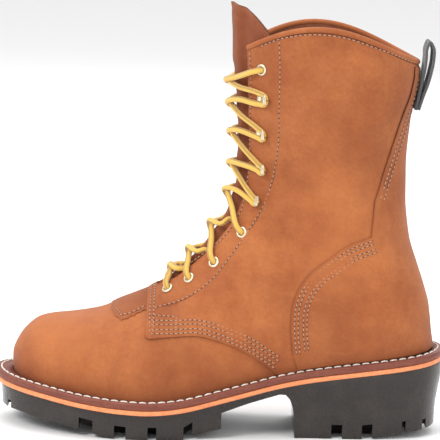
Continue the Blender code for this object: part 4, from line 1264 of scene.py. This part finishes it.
def laceMesh(name, routes):
    sides = laceForm["sides"]
    points, faces, laid = [], [], []
    for route in routes:
        path = smoothPath(route, laceForm["points"])
        start = len(points)
        points += tubeRings(path, laceForm["wide"], laceForm["thick"], sides)
        faces += [tuple(start + c for c in face) for face in ringFaces(len(path), sides)]
        run = np.concatenate([[0.0], np.cumsum(np.linalg.norm(np.diff(path, axis=0), axis=1))])
        laceRuns.append(run[-1])
        laid += [(r / 10.0, k / sides) for r in run for k in range(sides)]
    thing = meshOf(name, points, faces, finishes["lace"])
    layer = thing.data.uv_layers.new(name="alongLace")
    for face in thing.data.polygons:
        turnOver = max(laid[v][1] for v in face.vertices) > 0.9
        for corner in face.loop_indices:
            u, v = laid[thing.data.loops[corner].vertex_index]
            layer.data[corner].uv = (u, v + 1.0 if turnOver and v < 0.1 else v)
    return thing


for n in range(len(laceRows) - 1):
    lace = laceMesh(f"laceCrossing{n + 1}", [laceRoute(n, -1), laceRoute(n, 1)])
    finished(lace, "gold_lace", f"lace_crossing_{n + 1}")
print("laces run, millimetres in view and through the holes:", round(sum(laceRuns)))


# Pull loop

def makePullLoop():
    path = smoothPath(pullPath, 90)
    runs = np.gradient(path, axis=0)
    runs /= np.linalg.norm(runs, axis=1)[:, None]
    points = []
    half, thick = pullWidth / 2.0, pullHalfThickness
    steps = 18
    for (x, z), (rx, rz) in zip(path, runs):
        for k in range(steps):
            points.append((x - rz * thick, -half + 2.0 * half * k / (steps - 1), z + rx * thick))
        for k in range(steps):
            points.append((x + rz * thick, half - 2.0 * half * k / (steps - 1), z - rx * thick))
    loop = outward(meshOf("pullTape", points, ringFaces(len(path), 2 * steps), finishes["webbing"]))
    loop.data.set_sharp_from_angle(angle=math.radians(50.0))
    return finished(loop, "grey_webbing", "pull_loop")


tapeForm = {"rows": 5, "low": 229.5, "rise": 2.6, "count": 9, "pitch": 2.5, "length": 1.9, "radius": 0.4}


def tapeStitchRows():
    down = pullPath[:6:-1]   # the outer run of the loop, from its lower end up
    placed = []
    for row in range(tapeForm["rows"]):
        z = tapeForm["low"] + tapeForm["rise"] * row
        middle = float(np.interp(z, [height for _, height in down], [x for x, _ in down]))
        for k in range(tapeForm["count"]):
            y = tapeForm["pitch"] * (k - (tapeForm["count"] - 1) / 2.0)
            place = Vector((middle + pullHalfThickness + 0.1, y, z))
            placed.append((place, Vector((0.0, 1.0, 0.0)), Vector((0.97, 0.0, -0.22))))
    return placed


makePullLoop()
tape = stitchMesh("tapeStitches", tapeStitchRows(), tapeForm["length"], tapeForm["radius"],
                  finishes["thread"])
finished(tape, "grey_webbing")
print("pull loop made")


# Sole: welt, midsole, rubber and insole

soleForm = {
    "stations": 320, "weltRound": 0.9, "midsoleRound": 0.7, "rubberRound": 0.7,
    "midsoleInset": 0.35, "rubberInset": 0.2, "levels": 12,
    "stitchInset": 4.1, "stitchPitch": 6.4, "stitchLength": 5.9, "stitchRadius": 0.62,
}


def skirt(height, outset):
    sideLine = []
    for s in list(np.linspace(0.0, heelRow, 160)) + [heelRow + 0.12, heelRow + 0.24]:
        t = np.linspace(0.0, 0.4, 401)
        x, z, half, middle = section(s, t)
        rise = z - soleTop(x)
        if rise[0] < height:
            sideLine.append([float(np.interp(height, rise, v)) for v in (x, middle, half)])
    back = float(np.interp(heelZ + height, column(backLine, "z"), column(backLine, "x")))
    sideLine.append([back, 0.0, 0.0])
    outer = [(x, m - h) for x, m, h in sideLine]
    inner = [(x, m + h) for x, m, h in sideLine[-2:0:-1]]
    loop = np.array(outer + inner)
    tangent = np.roll(loop, -1, axis=0) - np.roll(loop, 1, axis=0)
    tangent /= np.linalg.norm(tangent, axis=1)[:, None]
    return loop + np.stack([tangent[:, 1], -tangent[:, 0]], axis=1) * outset


def nearestOn(loop, point):
    return loop[int(np.argmin(np.hypot(*(loop - point).T)))]


def roundedEdge(outer, inner, low, high, corner):
    x, y = outer
    reach = np.array(inner) - np.array(outer)
    length = np.linalg.norm(reach)
    reach = reach / length
    ring = []
    for inset, z in ((corner, low), (corner * 0.3, low + corner * 0.3), (0.0, low + corner),
                     (0.0, high - corner), (corner * 0.3, high - corner * 0.3), (corner, high),
                     (length * 0.5, high), (length, high), (length, low), (length * 0.5, low)):
        px, py = x + reach[0] * inset, y + reach[1] * inset
        ring.append((px, py, float(soleTop(px)) + z))
    return ring


def makeWelt():
    inner = skirt(weltHeight, vampOutside + 0.1)
    edge = soleLoop(2880)
    points = []
    for point in inner:
        points += roundedEdge(nearestOn(edge, point), point, gap, weltHeight, soleForm["weltRound"])
    welt = outward(meshOf("weltBand", points, ringFaces(len(inner), 10, joined=True), finishes["welt"]))
    return finished(welt, "welt_leather", "welt")


def makeMidsole():
    edge = soleLoop(soleForm["stations"], -soleForm["midsoleInset"])
    points = []
    for x, y in edge:
        halfway = (x, y * 0.5 + (0.01 if y > 0 else -0.01))
        points += roundedEdge((x, y), halfway, -midsoleHeight - 0.1, 0.1, soleForm["midsoleRound"])
    faces = ringFaces(len(edge), 10, joined=True)
    midsole = outward(meshOf("midsoleBand", points, faces, finishes["midsole"]))
    return finished(midsole, "midsole_leather", "midsole")


def weltStitchRow():
    loop = soleLoop(1440, -soleForm["stitchInset"])
    loop = np.concatenate([loop, loop[:1]])
    placed = []
    for x, y in evenPoints(loop, soleForm["stitchPitch"]):
        k = int(np.argmin(np.hypot(loop[:, 0] - x, loop[:, 1] - y)))
        run = loop[(k + 4) % len(loop)] - loop[k - 4]
        slope = float(soleTop(x + 1.0) - soleTop(x - 1.0)) / 2.0
        along = Vector((run[0], run[1], run[0] * slope)).normalized()
        normal = Vector((-slope, 0.0, 1.0)).normalized()
        placed.append((Vector((x, y, float(soleTop(x)) + weltHeight + 0.35)), along, normal))
    return placed


def makeRubber():
    heights, insets = column(rubberSide, "z"), column(rubberSide, "inset")
    stations = soleForm["stations"]
    rings = []
    for z in np.linspace(heights[0], heights[-1], soleForm["levels"]):
        inset = float(np.interp(z, heights, insets)) + soleForm["rubberInset"]
        rings += [(x, y, z) for x, y in soleLoop(stations, -inset)]
    rubber = outward(meshOf("rubberSole", rings, ringFaces(soleForm["levels"], stations), finishes["rubber"]))
    top = [(x, float(soleTop(x)) - midsoleHeight + 0.1) for x in np.linspace(161.0, -160.0, 80)]
    under = [(row.x, row.z) for row in rubberUnderside]
    cutWith(rubber, sidePrism("profile", under + top))
    for cutter in treadCutters():
        cutWith(rubber, cutter, "DIFFERENCE")
    edge = rubber.modifiers.new("edge", "BEVEL")
    edge.width = soleForm["rubberRound"] * mm
    edge.segments = 2
    edge.limit_method = "ANGLE"
    edge.angle_limit = math.radians(38.0)
    applyAll(rubber)
    rubber.data.shade_smooth()
    rubber.data.set_sharp_from_angle(angle=math.radians(32.0))
    return finished(rubber, "black_rubber", "outsole")


belowGround = -6.0   # where the tread's cutters start


def groundAt(x):
    return float(np.interp(x, column(rubberUnderside, "x"), column(rubberUnderside, "z")))


def grooveBlock(x0, x1, y0, y1, depth):
    ring = [(x0, y0), (x1, y0), (x1, y1), (x0, y1)]
    points = [(x, y, belowGround) for x, y in ring] + [(x, y, groundAt(x) + depth) for x, y in ring]
    return outward(meshOf("groove", points, ringFaces(2, 4), [], False))


def soleAt(x):
    return tuple(float(v) for v in breadth(soleOutline, (x + soleLength / 2.0) / soleLength))


def treadCutters():
    cutters = []
    past = 9.0   # past the sole's edge
    for notch in sideNotches:
        half, middle = soleAt(notch.x)
        inner = max(half - treadInset - treadWidth / 2.0, 0.0)
        x0, x1 = notch.x - notch.width / 2.0, notch.x + notch.width / 2.0
        cutters.append(grooveBlock(x0, x1, middle - half - past, middle - inner, notch.depth))
        cutters.append(grooveBlock(x0, x1, middle + inner, middle + half + past, notch.depth))
    for side in (-1, 1):
        points = []
        xs = np.linspace(-132.0, -2.0, 30)
        for x in xs:
            half, middle = soleAt(x)
            a = middle + side * (half - treadInset)
            b = middle + side * (half - treadInset - treadWidth)
            top = groundAt(x) + treadDepth - 1.5
            points += [(x, a, belowGround), (x, b, belowGround), (x, b, top), (x, a, top)]
        cutters.append(outward(meshOf("channel", points, ringFaces(len(xs), 4), [], False)))
    for x in middleGrooves:
        half, middle = soleAt(x)
        reach = half - treadInset - treadWidth / 2.0
        cutters.append(grooveBlock(x - 2.6, x + 2.6, middle - reach, middle + reach, treadDepth - 2.5))
    front, back, half = heelPocket
    cutters.append(grooveBlock(front, back, -half, half, treadDepth - 2.0))
    return cutters


makeWelt()
makeMidsole()
seam = stitchMesh("weltStitches", weltStitchRow(), soleForm["stitchLength"], soleForm["stitchRadius"],
                  finishes["weltThread"])
finished(seam, "welt_leather")
makeRubber()
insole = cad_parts["insole"]
insole.data.materials.clear()
insole.data.materials.append(finishes["insole"])
print("sole made")


# Floor, light and camera

studio = {"floorSize": 60.0, "floor": (0.88, 0.88, 0.88), "floorRoughness": 0.85, "daylight": 0.95}
bpy.ops.mesh.primitive_plane_add(size=studio["floorSize"], location=(0.0, 0.0, 0.0))
floor = bpy.context.object
floor.name = "floor"
floor.data.materials.append(newMaterial("paleFloor", studio["floor"], studio["floorRoughness"]))

lights = (
    # name, place, aim, size, power
    ("key", (-1.5, -1.5, 1.8), (0.0, 0.0, 0.12), 0.9, 36.0),
    ("fill", (1.7, -1.5, 1.0), (0.0, 0.0, 0.12), 1.4, 9.0),
    ("top", (-0.1, 0.2, 2.2), (0.0, 0.0, 0.1), 1.4, 24.0),
    ("back", (0.8, 1.9, 1.4), (0.0, 0.0, 0.15), 1.4, 12.0),
)
for name, place, aim, size, power in lights:
    lamp = bpy.data.lights.new(name, "AREA")
    lamp.size = size
    lamp.energy = power
    holder = bpy.data.objects.new(name, lamp)
    holder.location = place
    holder.rotation_euler = (Vector(aim) - Vector(place)).to_track_quat("-Z", "Y").to_euler()
    bpy.context.scene.collection.objects.link(holder)
world = bpy.data.worlds.new("studio")
bpy.context.scene.world = world
world.use_nodes = True
sky = world.node_tree.nodes["Background"]
sky.inputs["Color"].default_value = (1.0, 1.0, 1.0, 1.0)
sky.inputs["Strength"].default_value = studio["daylight"]

view = {"place": (-0.0018, -1.60, 0.39), "pitch": 8.69, "roll": 1.5, "lens": 190.2}
pitch, roll = math.radians(view["pitch"]), math.radians(view["roll"])
ahead = Vector((0.0, math.cos(pitch), -math.sin(pitch)))
upward = Vector((0.0, math.sin(pitch), math.cos(pitch)))
right = Vector((1.0, 0.0, 0.0))
across = right * math.cos(roll) + upward * math.sin(roll)
above = upward * math.cos(roll) - right * math.sin(roll)
lens = bpy.data.cameras.new("photoView")
lens.lens = view["lens"]
lens.sensor_width = 36.0
camera = bpy.data.objects.new("photoView", lens)
bpy.context.scene.collection.objects.link(camera)
turnTo = np.eye(4)
turnTo[:3, 0], turnTo[:3, 1], turnTo[:3, 2] = across, above, -ahead
turnTo[:3, 3] = Vector(view["place"]) + Vector((0.0, yShift * mm, 0.0))
camera.matrix_world = Matrix(turnTo.tolist())
bpy.context.scene.camera = camera
bpy.context.scene.view_settings.view_transform = "Standard"
print("camera set")
